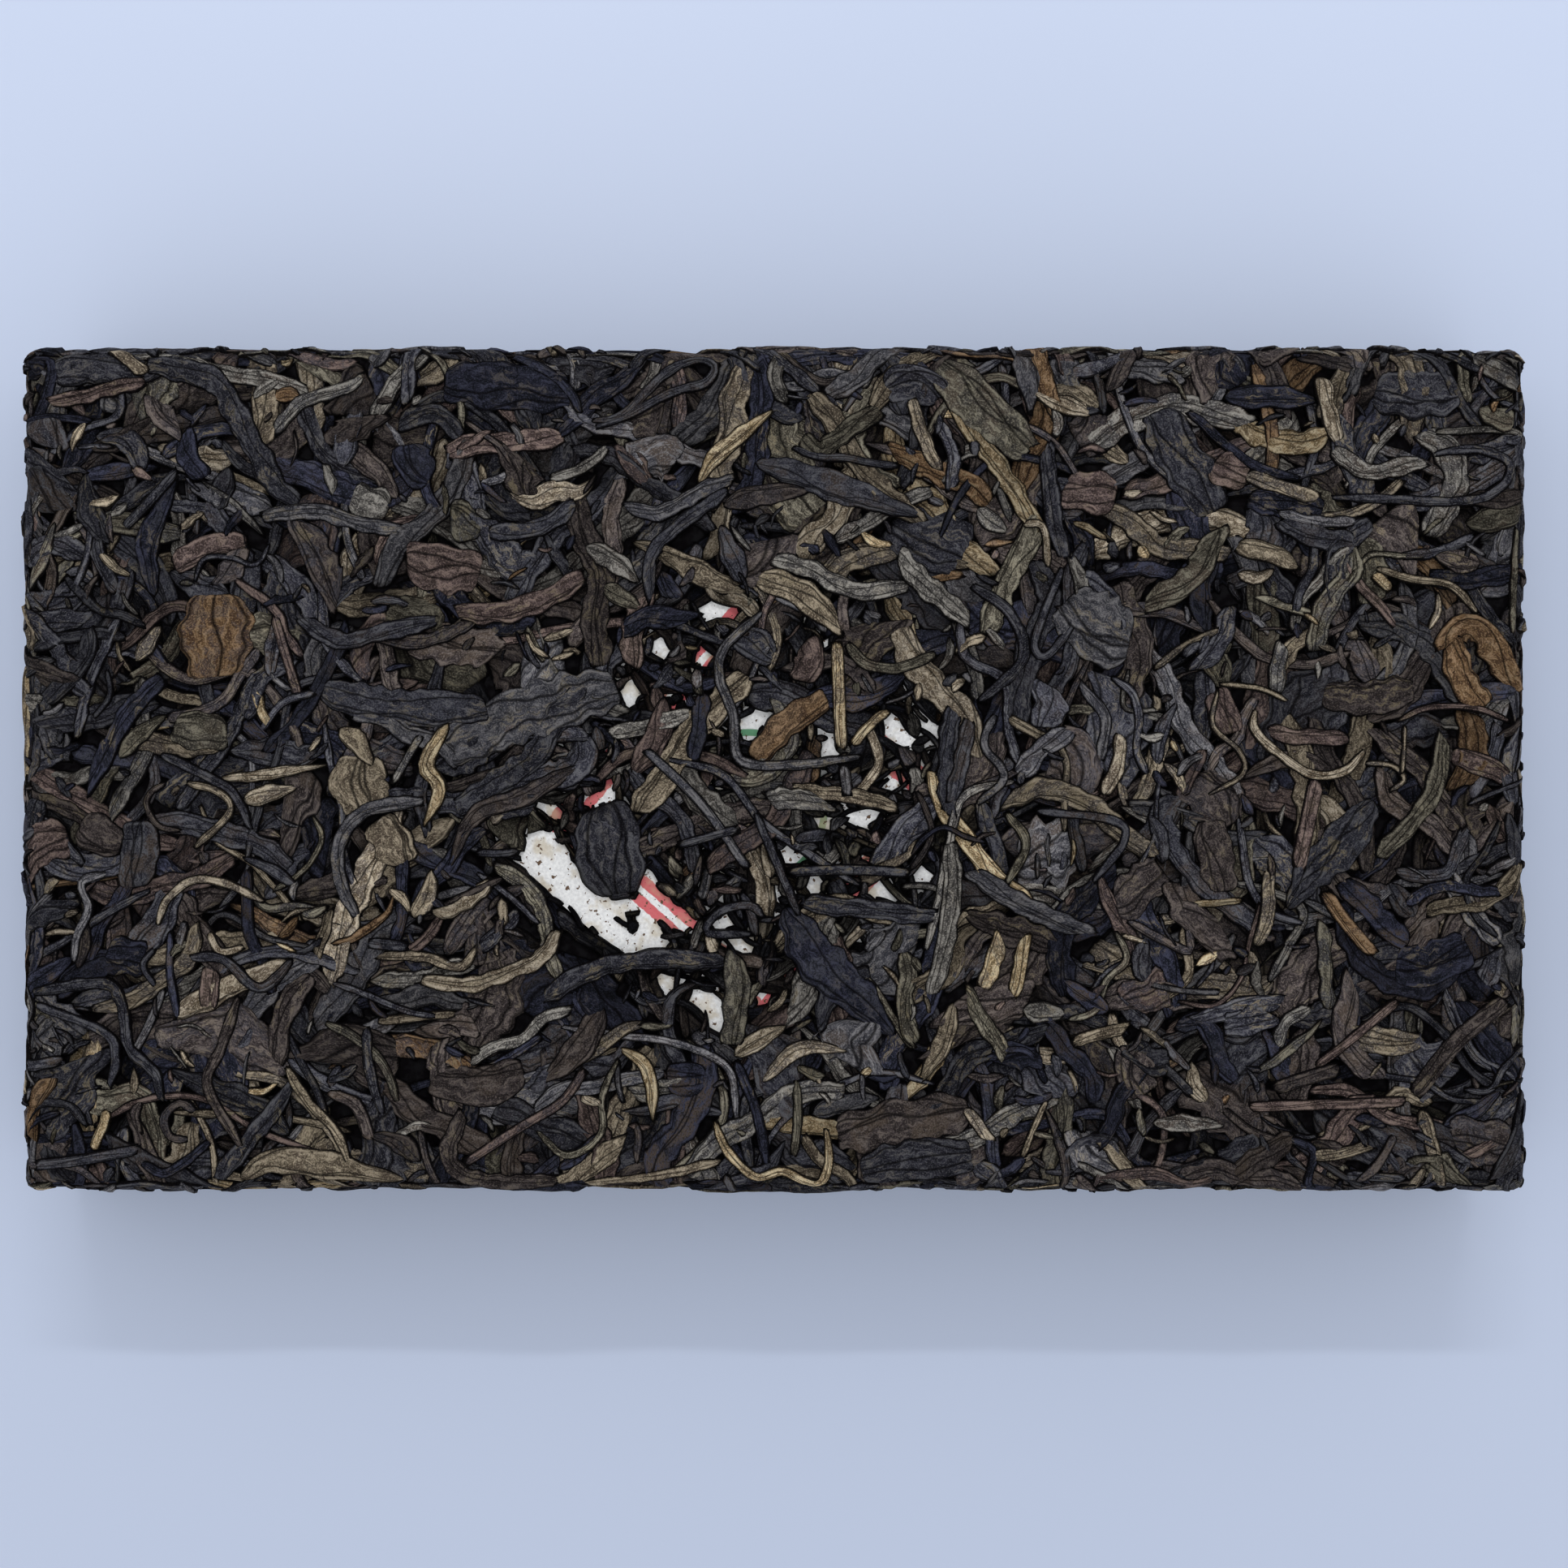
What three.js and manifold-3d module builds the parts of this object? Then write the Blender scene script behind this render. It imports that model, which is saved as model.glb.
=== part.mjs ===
// A pressed pu erh tea brick: one slab of fused leaves, with a square paper ticket just under its top leaves.
// Millimetres, +Z up, the middle of the underside at the origin, the long side along X.
import * as THREE from 'three';
import { RoundedBoxGeometry } from 'three/addons/geometries/RoundedBoxGeometry.js';
import { mergeVertices } from 'three/addons/utils/BufferGeometryUtils.js';
import Module from 'manifold-3d';

const wasm = await Module();
wasm.setup();

// The brick
const LENGTH = 150;
const WIDTH = 84.5;
const THICK = 22;
const EDGE_RADIUS = 1.6;
const EDGE_STEPS = 2;
const CORE_INSET = 0.9;
const CORE_CELL = 16;
const CORE_DIP = 0.4;
const FLAT_WITHIN = 0.08;
const MERGE_WITHIN = 1e-3;
const SEED = 7319;

// A leaf has four sides: one edge is its crest, and the others are sunk into the core.
// What would stand out past the slab's faces is pressed flat there.
const LEAF_DEPTH = 2.3;
const LEAF_SIDES = 4;
const LEAF_LEAN = 0.3;
const LARGE_CREST = 0.2;
const STREWN_WIDTH = [3, 7];
const STREWN_REACH = [4, 10];
const STREWN_CREST = [0, 0.3];
const STREWN_BEND = 0.5;
const STREWN_RINGS = 3;
const STREWN_JITTER = [0.7, 0.5];
const SIDE_SLOPE = 0.5;

// The paper ticket, a square turned about Z, and the shallow pocket that holds it
const TICKET_SIDE = 39;
const TICKET_THICK = 0.3;
const TICKET_X = -2.6;
const TICKET_Y = -3.9;
const TICKET_TURN = -41;
const TICKET_DEPTH = 2.1;
const POCKET_GAP = 0.3;
const WINDOW_SIDES = 7;

// Colours
const TEA_COLOUR = 0x393433;
const PAPER_COLOUR = 0xd6d7d8;

// The faces of the slab: where the middle is, which way it runs and looks, and half its size
const HALF_L = LENGTH / 2;
const HALF_W = WIDTH / 2;
const HALF_T = THICK / 2;
const FACES = {
  top: { middle: [0, 0, THICK], along: [1, 0, 0], up: [0, 1, 0], half: [HALF_L, HALF_W] },
  bottom: { middle: [0, 0, 0], along: [1, 0, 0], up: [0, -1, 0], half: [HALF_L, HALF_W] },
  front: { middle: [0, -HALF_W, HALF_T], along: [1, 0, 0], up: [0, 0, 1], half: [HALF_L, HALF_T] },
  back: { middle: [0, HALF_W, HALF_T], along: [-1, 0, 0], up: [0, 0, 1], half: [HALF_L, HALF_T] },
  right: { middle: [HALF_L, 0, HALF_T], along: [0, 1, 0], up: [0, 0, 1], half: [HALF_W, HALF_T] },
  left: { middle: [-HALF_L, 0, HALF_T], along: [0, -1, 0], up: [0, 0, 1], half: [HALF_W, HALF_T] },
};

// The largest leaves of the top, as they lie there: width, then the points that each runs through
const LARGE_LEAVES = {
  purpleSheet: [6, [-32, 1], [-24, 4], [-15, 8]],
  cornerStrap: [2.8, [-63, 40], [-54, 34], [-48, 26]],
  roundLeaf: [7.5, [-56.5, 18], [-56.5, 9]],
  blueLeaf: [6, [-33, 37.5], [-20, 39.5]],
  goldBlade: [2.4, [-7.5, 28], [-5.5, 32], [0, 36]],
  wideOlive: [5, [17, 40], [21, 36], [26, 31]],
  middleStrap: [3.4, [-2, 31], [5, 29], [15, 25.5]],
  khakiStraps: [4, [-1, 20], [5, 18.5], [13, 18]],
  greyFlat: [7, [29, 17], [36, 13]],
  rightTriangle: [6, [38, 36], [45, 26]],
  foldedSheet: [6, [60, 38], [69, 38]],
  heartLeft: [3.2, [68, 13.5], [72, 6]],
  heartRight: [3, [70, 14], [74.5, 8.5]],
  longRightStrap: [4.8, [60.5, -3], [56, -10], [52, -14.5]],
  darkRightSheet: [5, [62, -19.5], [70, -18]],
  thickStem: [2.2, [73.5, -23], [69, -27.5], [64, -33]],
  khakiSheet: [6, [-42, 2], [-41, -5]],
  longTendril: [1.8, [-35.5, -3], [-42, -4.5], [-44, -11], [-42, -15]],
  lowLeftStrap: [2.8, [-46.5, -21], [-49, -29]],
  wrinkledLeaf: [3.2, [-54, -41], [-50, -39.5], [-37, -41]],
  greyWideLeaf: [5, [-34, -31], [-25, -30.5]],
  redBrownLeaf: [3.4, [-17.5, -24], [-23, -31.5]],
  purpleLeaf: [5, [1, -14], [4, -19], [12, -27]],
  fanLeaf: [5.5, [23.5, -17], [22, -23]],
  khakiTail: [2.4, [18.5, -23.5], [14.5, -31.5]],
  ticketStrap: [2.3, [-20, 0.5], [-25, -3], [-32.5, -10]],
  ticketRound: [5, [-17.5, -5], [-16, -13]],
  ticketBar: [2.4, [-23.5, -23], [-15, -20], [-5, -19]],
  ticketStem: [1.4, [-13, 2], [-7, -3.5], [-2.5, -10]],
  darkBundle: [3, [17.5, 6.5], [17, -5]],
  greyDiagonal: [2.4, [20, -10], [24, -13], [31, -16.5]],
  bottomPlates: [6, [6, -37], [20, -38]],
  straightStem: [1.4, [47.5, -34], [64, -33.5]],
  hairpin: [1.3, [-18.5, 35.5], [-11, 39.5], [-7.5, 40.5], [-7, 38.5], [-18, 35]],
  rightLoop: [1.3, [66, 32], [74, 30.5], [69.5, 27], [56, 27.5]],
};

// The broad leaf in the middle of the underside, pressed flat where the brick rests on it
const BASE_LEAF = { width: 11, points: [[-8, 1], [0, 0], [8, 1]], crest: 0.9, rings: 5 };

// Bare patches of the ticket, seen between the leaves: middle, and the size along X and Y
const TICKET_WINDOWS = [
  [-20.4, -11.6, 10, 7.5],
  [-14.5, -17.2, 4.5, 3],
  [-11, -13.2, 3.6, 5],
  [-7, -24.4, 3, 4],
  [4, -11.4, 2.2, 2.6],
  [12.4, 4.2, 3, 2.6],
  [9.2, -5.2, 2.4, 1.6],
  [-2.6, 4.2, 1.6, 2],
  [-5.6, 16.1, 3.2, 1.6],
];

// How many smaller leaves are strewn on each face, as columns and rows of a jittered grid
const STREWN = {
  top: [11, 7],
  bottom: [8, 4],
  front: [7, 2],
  back: [7, 2],
  right: [5, 2],
  left: [5, 2],
};

// A seeded draw between two numbers
let drawState = SEED;
function draw(low, high) {
  drawState = (drawState * 1664525 + 1013904223) % 4294967296;
  return low + (high - low) * drawState / 4294967296;
}

// A closed geometry as a solid, and a solid as a geometry
function toSolid(geometry) {
  geometry.deleteAttribute('normal');
  geometry.deleteAttribute('uv');
  const merged = mergeVertices(geometry, MERGE_WITHIN);
  const vertProperties = Float32Array.from(merged.attributes.position.array);
  const triVerts = Uint32Array.from(merged.index.array);
  return new wasm.Manifold(new wasm.Mesh({ numProp: 3, vertProperties, triVerts }));
}

function toGeometry(solid) {
  const mesh = solid.getMesh();
  const geometry = new THREE.BufferGeometry();
  geometry.setAttribute('position', new THREE.BufferAttribute(mesh.vertProperties, 3));
  geometry.setIndex(new THREE.BufferAttribute(mesh.triVerts, 1));
  return geometry;
}

// The local frame of a face: X along it, Y up it and Z out of it
function faceMatrix(face) {
  const along = new THREE.Vector3(...face.along);
  const up = new THREE.Vector3(...face.up);
  const out = new THREE.Vector3().crossVectors(along, up);
  return new THREE.Matrix4().makeBasis(along, up, out).setPosition(...face.middle);
}

// The packed middle of the slab, a box whose skin dips at random between the leaves
function makeCore() {
  const size = [LENGTH, WIDTH, THICK].map((side) => side - 2 * CORE_INSET);
  const cells = size.map((side) => Math.ceil(side / CORE_CELL));
  const box = new THREE.BoxGeometry(...size, ...cells);
  box.deleteAttribute('normal');
  box.deleteAttribute('uv');
  const core = mergeVertices(box, MERGE_WITHIN);
  const place = core.attributes.position;
  const point = new THREE.Vector3();
  for (let i = 0; i < place.count; i += 1) {
    point.fromBufferAttribute(place, i);
    const shrink = size.map((side) => 1 - 2 * draw(0, CORE_DIP) / side);
    place.setXYZ(i, point.x * shrink[0], point.y * shrink[1], point.z * shrink[2]);
  }
  core.translate(0, 0, HALF_T);
  return toSolid(core);
}

// One leaf along a curve on a face: a sphere of few sides drawn out, with its crest at the height
function makeLeaf(face, points, width, height, rings) {
  const curve = new THREE.CatmullRomCurve3(points.map(([x, y]) => new THREE.Vector3(x, y, 0)));
  const leaf = new THREE.SphereGeometry(1, LEAF_SIDES, rings);
  const place = leaf.attributes.position;
  const lean = draw(-LEAF_LEAN, LEAF_LEAN);
  for (let i = 0; i < place.count; i += 1) {
    const run = THREE.MathUtils.clamp((1 - place.getY(i)) / 2, 0, 1);
    const middle = curve.getPointAt(run);
    const tangent = curve.getTangentAt(run);
    const across = width / 2 * (place.getX(i) + lean * place.getZ(i));
    const rise = height - LEAF_DEPTH * (1 - place.getZ(i)) / 2;
    place.setXYZ(i, middle.x - tangent.y * across, middle.y + tangent.x * across, rise);
  }
  leaf.applyMatrix4(faceMatrix(face));
  return toSolid(leaf);
}

function makeLargeLeaves() {
  return Object.values(LARGE_LEAVES).map(([width, ...points]) => (
    makeLeaf(FACES.top, points, width, LARGE_CREST, points.length + 2)
  ));
}

// Smaller leaves strewn over a face, each turned and bent at random
function makeStrewnLeaves(name) {
  const face = FACES[name];
  const [columns, rows] = STREWN[name];
  const leaves = [];
  const slope = face.half[1] > HALF_T ? Math.PI : SIDE_SLOPE;
  for (let column = 0; column < columns; column += 1) {
    for (let row = 0; row < rows; row += 1) {
      const [jitterX, jitterY] = STREWN_JITTER;
      const x = face.half[0] * ((2 * column + 1 + draw(-jitterX, jitterX)) / columns - 1);
      const y = face.half[1] * ((2 * row + 1 + draw(-jitterY, jitterY)) / rows - 1);
      const reach = draw(...STREWN_REACH);
      const turn = draw(-slope, slope);
      const bend = draw(-STREWN_BEND, STREWN_BEND);
      const ends = [-1, 1].map((side) => [
        x + side * reach * Math.cos(turn + side * bend),
        y + side * reach * Math.sin(turn + side * bend),
      ]);
      const points = [ends[0], [x, y], ends[1]];
      leaves.push(makeLeaf(face, points, draw(...STREWN_WIDTH), draw(...STREWN_CREST), STREWN_RINGS));
    }
  }
  return leaves;
}

// A box that lies with the ticket, between two heights
function makeTicketBox(side, low, high) {
  const box = new THREE.BoxGeometry(side, side, high - low);
  box.rotateZ(THREE.MathUtils.degToRad(TICKET_TURN));
  box.translate(TICKET_X, TICKET_Y, (low + high) / 2);
  return box;
}

// A well from the pocket up through the leaves
function makeWindow([x, y, sizeX, sizeY]) {
  const well = new THREE.CylinderGeometry(0.5, 0.5, 2 * TICKET_DEPTH, WINDOW_SIDES);
  well.rotateX(Math.PI / 2);
  well.rotateZ(draw(0, Math.PI));
  well.scale(sizeX, sizeY, 1);
  well.translate(x, y, THICK);
  return toSolid(well);
}

// The largest shell of a solid: the brick without loose scraps or sealed hollows
function outerShell(solid) {
  const pieces = toSolid(toGeometry(solid.simplify(FLAT_WITHIN))).decompose();
  return pieces.reduce((most, piece) => (piece.volume() > most.volume() ? piece : most));
}

function makeBrick() {
  const strewn = Object.keys(STREWN).flatMap(makeStrewnLeaves);
  const base = makeLeaf(FACES.bottom, BASE_LEAF.points, BASE_LEAF.width, BASE_LEAF.crest, BASE_LEAF.rings);
  const leaves = [...makeLargeLeaves(), ...strewn, base];
  const slab = new RoundedBoxGeometry(LENGTH, WIDTH, THICK, EDGE_STEPS, EDGE_RADIUS);
  slab.translate(0, 0, HALF_T);
  const ticketTop = THICK - TICKET_DEPTH + TICKET_THICK;
  const pocketFloor = THICK - TICKET_DEPTH - POCKET_GAP;
  const pocket = makeTicketBox(TICKET_SIDE + 2 * POCKET_GAP, pocketFloor, ticketTop + POCKET_GAP);
  let brick = leaves.reduce((joined, leaf) => joined.add(leaf), makeCore());
  brick = brick.intersect(toSolid(slab)).subtract(toSolid(pocket));
  brick = TICKET_WINDOWS.reduce((cut, bare) => cut.subtract(makeWindow(bare)), brick);
  return outerShell(brick);
}

function makeMesh(name, geometry, color, roughness) {
  const material = new THREE.MeshStandardMaterial({ color, roughness, metalness: 0, flatShading: true });
  const mesh = new THREE.Mesh(geometry, material);
  mesh.name = name;
  return mesh;
}

const ticketFloor = THICK - TICKET_DEPTH;
const ticket = makeTicketBox(TICKET_SIDE, ticketFloor, ticketFloor + TICKET_THICK);

const teaBrick = new THREE.Group();
teaBrick.add(makeMesh('brick', toGeometry(makeBrick()), TEA_COLOUR, 0.75));
teaBrick.add(makeMesh('inner_ticket', ticket, PAPER_COLOUR, 0.9));

export default teaBrick;
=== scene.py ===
import math

import bpy
import numpy as np
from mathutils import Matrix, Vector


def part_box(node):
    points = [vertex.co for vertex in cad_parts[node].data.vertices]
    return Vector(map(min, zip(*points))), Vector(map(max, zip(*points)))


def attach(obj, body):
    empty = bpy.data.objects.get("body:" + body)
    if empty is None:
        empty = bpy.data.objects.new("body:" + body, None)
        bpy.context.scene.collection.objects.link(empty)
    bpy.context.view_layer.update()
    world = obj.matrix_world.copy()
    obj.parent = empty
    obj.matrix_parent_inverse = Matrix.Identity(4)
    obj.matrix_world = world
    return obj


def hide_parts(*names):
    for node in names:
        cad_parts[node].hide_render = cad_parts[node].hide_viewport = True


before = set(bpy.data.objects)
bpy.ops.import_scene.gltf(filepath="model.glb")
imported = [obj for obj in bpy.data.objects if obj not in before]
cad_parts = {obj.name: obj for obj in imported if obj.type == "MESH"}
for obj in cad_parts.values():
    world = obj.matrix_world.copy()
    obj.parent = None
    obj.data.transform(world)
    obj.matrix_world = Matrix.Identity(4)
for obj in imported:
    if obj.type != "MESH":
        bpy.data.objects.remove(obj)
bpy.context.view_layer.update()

MM = 0.001
SEED = 4127
rng = np.random.default_rng(SEED)

# The slab, in millimetres, from the frame
low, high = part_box("brick")
LENGTH, WIDTH, THICK = [(b - a) / MM for a, b in zip(low, high)]
HALF_L = LENGTH / 2
HALF_W = WIDTH / 2
HALF_T = THICK / 2
EDGE_RADIUS = 1.6
CORE_DEPTH = 1.5
EDGE_DEPTH = 0.9
BED_DEPTH = 2.7

# The ticket: a square sheet turned about Z, its middle in the frame of the top
TICKET_TURN = math.radians(-41)
ticket_low, ticket_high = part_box("inner_ticket")
TICKET_REACH = (ticket_high[0] - ticket_low[0]) / MM
TICKET_SIDE = TICKET_REACH / (abs(math.cos(TICKET_TURN)) + abs(math.sin(TICKET_TURN)))
TICKET_MIDDLE = np.array([(a + b) / 2 / MM for a, b in zip(ticket_low, ticket_high)][:2])
TICKET_LEVEL = (ticket_low[2] + ticket_high[2]) / 2 / MM - THICK

# The photograph, seen square on: its scale on the brick's top, and the pixel over the brick's middle
PHOTO_SIDE = 1932
MM_PER_PIXEL = 0.0806
MIDDLE_PIXEL = (954, 948)
VIEW_ANGLE = math.radians(30)

# The height map that leaves are laid on
CELL = 0.3
WRAP = 2.5
INSET_REACH = 1.5
CORE_CELL = 1.8

# How far apart, across a leaf, its fold lines may be; and how high a fold stands
FOLD_SPAN = 4.0
FOLD_STEP = 0.07

# Leaf colours, as red, green and blue of 255: the body of the leaf, its shaded parts and its light streaks
TONES = {
    "dark": ((67, 67, 77), (38, 38, 46), (107, 107, 112)),
    "ink": ((47, 48, 63), (27, 29, 37), (71, 73, 91)),
    "slate": ((97, 96, 101), (60, 60, 66), (138, 136, 138)),
    "grey": ((132, 128, 122), (79, 76, 74), (186, 181, 173)),
    "umber": ((81, 73, 73), (49, 43, 43), (118, 108, 102)),
    "wine": ((111, 95, 93), (71, 59, 57), (155, 135, 126)),
    "rust": ((138, 109, 78), (88, 66, 49), (180, 149, 117)),
    "gold": ((214, 187, 146), (137, 117, 86), (246, 227, 190)),
    "khaki": ((151, 138, 117), (96, 85, 72), (206, 190, 165)),
    "olive": ((101, 96, 85), (64, 60, 52), (150, 144, 127)),
    "tan": ((180, 165, 142), (116, 102, 84), (228, 213, 190)),
}
BLUSH = (102, 89, 78)
GILT = (142, 129, 102)
BLOOM = (96, 97, 108)
# Near black, painted shade: drawn along the leaves' rims, folds and cracks, and into the core seen deep in
# the gaps
CREVICE_SHADE = (4, 2, 4)
# Painted shade for the core seen deep in the gaps, its lumps a little lighter
CORE_SHADE = (16, 15, 17)
DRY_GLOSS = 0.06

# Painted crevice shade: how much of a leaf's colour is left in the deepest crevices, what it gains above
# them, and the heights of that change
CREVICE_LIGHT = 0.14
OPEN_GAIN = 0.96
CREVICE_HEIGHTS = (-1.5, -0.8)

# How far leaves are strewn past the rim of a face, and how far short of the long rims of a narrow one
RIM_REACH = 1.6
NARROW_INSET = 1.2

# How a leaf is drawn: the turn that crowds its columns at the edges, how deep its edge sinks into the ground
# and how far it hangs below the leaf, how much finer the height map is, and the size of its grain
COLUMN_TURN = 1.35
EDGE_SINK = 0.12
EDGE_HANG = 0.9
FINER = 3
GRAIN_SIZE = 10


class Form:
    """How leaves of one kind are shaped, in millimetres: ends, ragged and cut are shares of the width."""

    def __init__(self, step, columns, rise, ridge, curl, flatness, ends, ragged, cut):
        self.step = step
        self.columns = columns
        self.rise = rise
        self.ridge = ridge
        self.curl = curl
        self.flatness = flatness
        self.ends = ends
        self.ragged = ragged
        self.cut = cut


FORMS = {
    "strap": Form(0.6, 9, rise=0.34, ridge=0.11, curl=0.4, flatness=5, ends=0.7, ragged=0.14, cut=0.8),
    "blade": Form(0.6, 9, rise=0.24, ridge=0.10, curl=0.6, flatness=6, ends=0.1, ragged=0.12, cut=0.0),
    "plate": Form(0.55, 13, rise=0.15, ridge=0.08, curl=0.9, flatness=12, ends=0.6, ragged=0.18, cut=0.9),
    "flake": Form(0.5, 13, rise=0.16, ridge=0.06, curl=0.9, flatness=12, ends=0.55, ragged=0.10, cut=0.15),
    "tendril": Form(0.5, 7, rise=0.55, ridge=0.05, curl=0.0, flatness=2.8, ends=0.6, ragged=0.10, cut=0.3),
    "stem": Form(0.9, 7, rise=0.6, ridge=0.03, curl=0.0, flatness=2.8, ends=0.9, ragged=0.03, cut=0.3),
    "crumb": Form(0.6, 5, rise=0.25, ridge=0.1, curl=0.2, flatness=5, ends=0.3, ragged=0.3, cut=0.8),
}


def smooth_step(start, end, value):
    t = np.clip((value - start) / (end - start), 0, 1)
    return t * t * (3 - 2 * t)


def past_ticket(u, v):
    """How far a place on the top is outside the ticket's square."""
    c, s = math.cos(TICKET_TURN), math.sin(TICKET_TURN)
    u = u - TICKET_MIDDLE[0]
    v = v - TICKET_MIDDLE[1]
    return np.maximum(np.abs(c * u + s * v), np.abs(c * v - s * u)) - TICKET_SIDE / 2


class Face:
    """One side of the slab: its frame, half its size, and how high leaves are piled on it.

    Heights are in millimetres over the slab's skin."""

    def __init__(self, middle, along, up, half, has_bed=False):
        self.middle = np.array(middle, float)
        self.has_bed = has_bed
        self.along = np.array(along, float)
        self.up = np.array(up, float)
        self.out = np.cross(self.along, self.up)
        self.half = np.array(half, float)
        self.reach = self.half + WRAP + 4
        self.is_narrow = half[1] == HALF_T
        self.spread = self.half + (RIM_REACH, -NARROW_INSET if self.is_narrow else RIM_REACH)
        cells = np.ceil(2 * self.reach / CELL).astype(int)
        u, v = ((np.arange(n) + 0.5) * CELL - r for n, r in zip(cells, self.reach))
        self.pile = self.core_level(u[:, None], v[None, :])
        self.start = self.pile.copy()

    def core_level(self, u, v):
        """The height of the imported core, near the skin round the edges and low under the ticket."""
        near_edge = np.maximum(np.abs(u) - self.half[0], np.abs(v) - self.half[1])
        level = -CORE_DEPTH + (CORE_DEPTH - EDGE_DEPTH) * smooth_step(-4, -1, near_edge)
        if self.has_bed:
            level = level - (BED_DEPTH - CORE_DEPTH) * smooth_step(2.0, 0.4, past_ticket(u, v))
        return level

    def cells(self, u, v):
        i = np.clip(((u + self.reach[0]) / CELL).astype(int), 0, self.pile.shape[0] - 1)
        j = np.clip(((v + self.reach[1]) / CELL).astype(int), 0, self.pile.shape[1] - 1)
        return i, j

    def ground(self, u, v):
        return self.pile[self.cells(u, v)]

    def raise_to(self, u, v, h):
        np.maximum.at(self.pile, self.cells(u, v), h)

    def wrap(self, u, v, h):
        """Points of the face, at a height over its skin, as points of the brick bent round its edges."""
        flat = self.half - EDGE_RADIUS
        in_u = np.clip(u, -flat[0], flat[0])
        in_v = np.clip(v, -flat[1], flat[1])
        past_u = u - in_u
        past_v = v - in_v
        past = np.hypot(past_u, past_v)
        turn = np.minimum(past / EDGE_RADIUS, math.pi / 2)
        down = np.maximum(past - EDGE_RADIUS * math.pi / 2, 0)
        reach = (EDGE_RADIUS + h) * np.sin(turn) / np.maximum(past, 1e-6)
        out = (EDGE_RADIUS + h) * np.cos(turn) - EDGE_RADIUS - down
        x = in_u + past_u * reach
        y = in_v + past_v * reach
        return (
            self.middle
            + x[..., None] * self.along
            + y[..., None] * self.up
            + out[..., None] * self.out
        )


FACES = {
    "top": Face((0, 0, THICK), (1, 0, 0), (0, 1, 0), (HALF_L, HALF_W), has_bed=True),
    "bottom": Face((0, 0, 0), (1, 0, 0), (0, -1, 0), (HALF_L, HALF_W)),
    "front": Face((0, -HALF_W, HALF_T), (1, 0, 0), (0, 0, 1), (HALF_L, HALF_T)),
    "back": Face((0, HALF_W, HALF_T), (-1, 0, 0), (0, 0, 1), (HALF_L, HALF_T)),
    "right": Face((HALF_L, 0, HALF_T), (0, 1, 0), (0, 0, 1), (HALF_W, HALF_T)),
    "left": Face((-HALF_L, 0, HALF_T), (0, -1, 0), (0, 0, 1), (HALF_W, HALF_T)),
}

# Every leaf laid so far, by the piece that it goes in
leaves = {}


class Route:
    """A smooth curve through a leaf's points, measured along its length."""

    def __init__(self, points):
        points = np.array(points, float)
        p = np.vstack([2 * points[0] - points[1], points, 2 * points[-1] - points[-2]])
        t = np.linspace(0, 1, 12, endpoint=False)[:, None]
        spans = [
            b + (c - a) * t / 2 + (2 * a - 5 * b + 4 * c - d) * t**2 / 2 + (3 * b - a - 3 * c + d) * t**3 / 2
            for a, b, c, d in zip(p, p[1:], p[2:], p[3:])
        ]
        self.line = np.vstack([*spans, points[-1]])
        self.run = np.concatenate([[0], np.cumsum(np.hypot(*np.diff(self.line, axis=0).T))])
        self.length = self.run[-1]
        way = np.gradient(self.line, axis=0)
        self.way = way / np.maximum(np.hypot(*way.T), 1e-9)[:, None]

    def at(self, x):
        """The places at distances along the curve, drawn on straight past its ends, and the way it runs."""
        inside = np.clip(x, 0, self.length)
        place = [np.interp(inside, self.run, self.line[:, k]) for k in (0, 1)]
        way = [np.interp(inside, self.run, self.way[:, k]) for k in (0, 1)]
        return [p + w * (x - inside) for p, w in zip(place, way)], way


def waves(x, s, count, x_rate, s_rate):
    """Soft random waves along and across a leaf, of a height of about one."""
    total = 0
    for _ in range(count):
        fx = rng.uniform(*x_rate)
        fs = rng.uniform(*s_rate)
        total = total + np.sin(2 * math.pi * (fx * x + fs * s + rng.random()))
    return total / math.sqrt(count)


def outline(kind, t, ends):
    """Half the width of a leaf along its length, as a share of its widest."""
    if kind == "blade":
        belly = np.sin(math.pi * np.clip(t, 0, 1) ** 0.8) ** 0.7
        return ends + (1 - ends) * belly
    if kind in ("plate", "flake"):
        return ends + (1 - ends) * (1 - np.abs(2 * t - 1) ** 2.6) ** 0.6
    if kind == "crumb":
        return ends + (1 - ends) * np.sin(math.pi * t) ** 0.5
    return ends + (1 - ends) * smooth_step(0, 0.12, t) * smooth_step(0, 0.16, 1 - t)


def settle(support, step):
    """The line that a stiff leaf takes over uneven ground: it spans dips and is rounded over bumps."""
    near = max(1, round(0.8 / step))
    padded = np.pad(support, near, mode="edge")
    bridged = np.max([padded[k : k + len(support)] for k in range(2 * near + 1)], axis=0)
    mixed = 0.5 * bridged + 0.5 * support
    weights = np.hanning(2 * near + 3)[1:-1]
    padded = np.pad(mixed, near, mode="edge")
    return np.convolve(padded, weights / weights.sum(), mode="valid")


def press(h, ceiling, softness=0.12):
    """Heights pressed softly under a ceiling."""
    return ceiling - softness * np.logaddexp(0, (ceiling - h) / softness)


def painted_crevice_shade(h):
    """Painted crevice shade: the share of a leaf's colour left at a height, nearly black in the deepest
    crevices.
    """
    return CREVICE_LIGHT + OPEN_GAIN * smooth_step(*CREVICE_HEIGHTS, h)


def refine(grid, times):
    """A grid of heights or places with more rows and columns, for the height map."""
    for _ in range(2):
        count = len(grid)
        at = np.linspace(0, count - 1, (count - 1) * times + 1)
        first = np.minimum(at.astype(int), count - 2)
        part = (at - first)[:, None]
        grid = (grid[first] * (1 - part) + grid[first + 1] * part).T
    return grid


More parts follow.
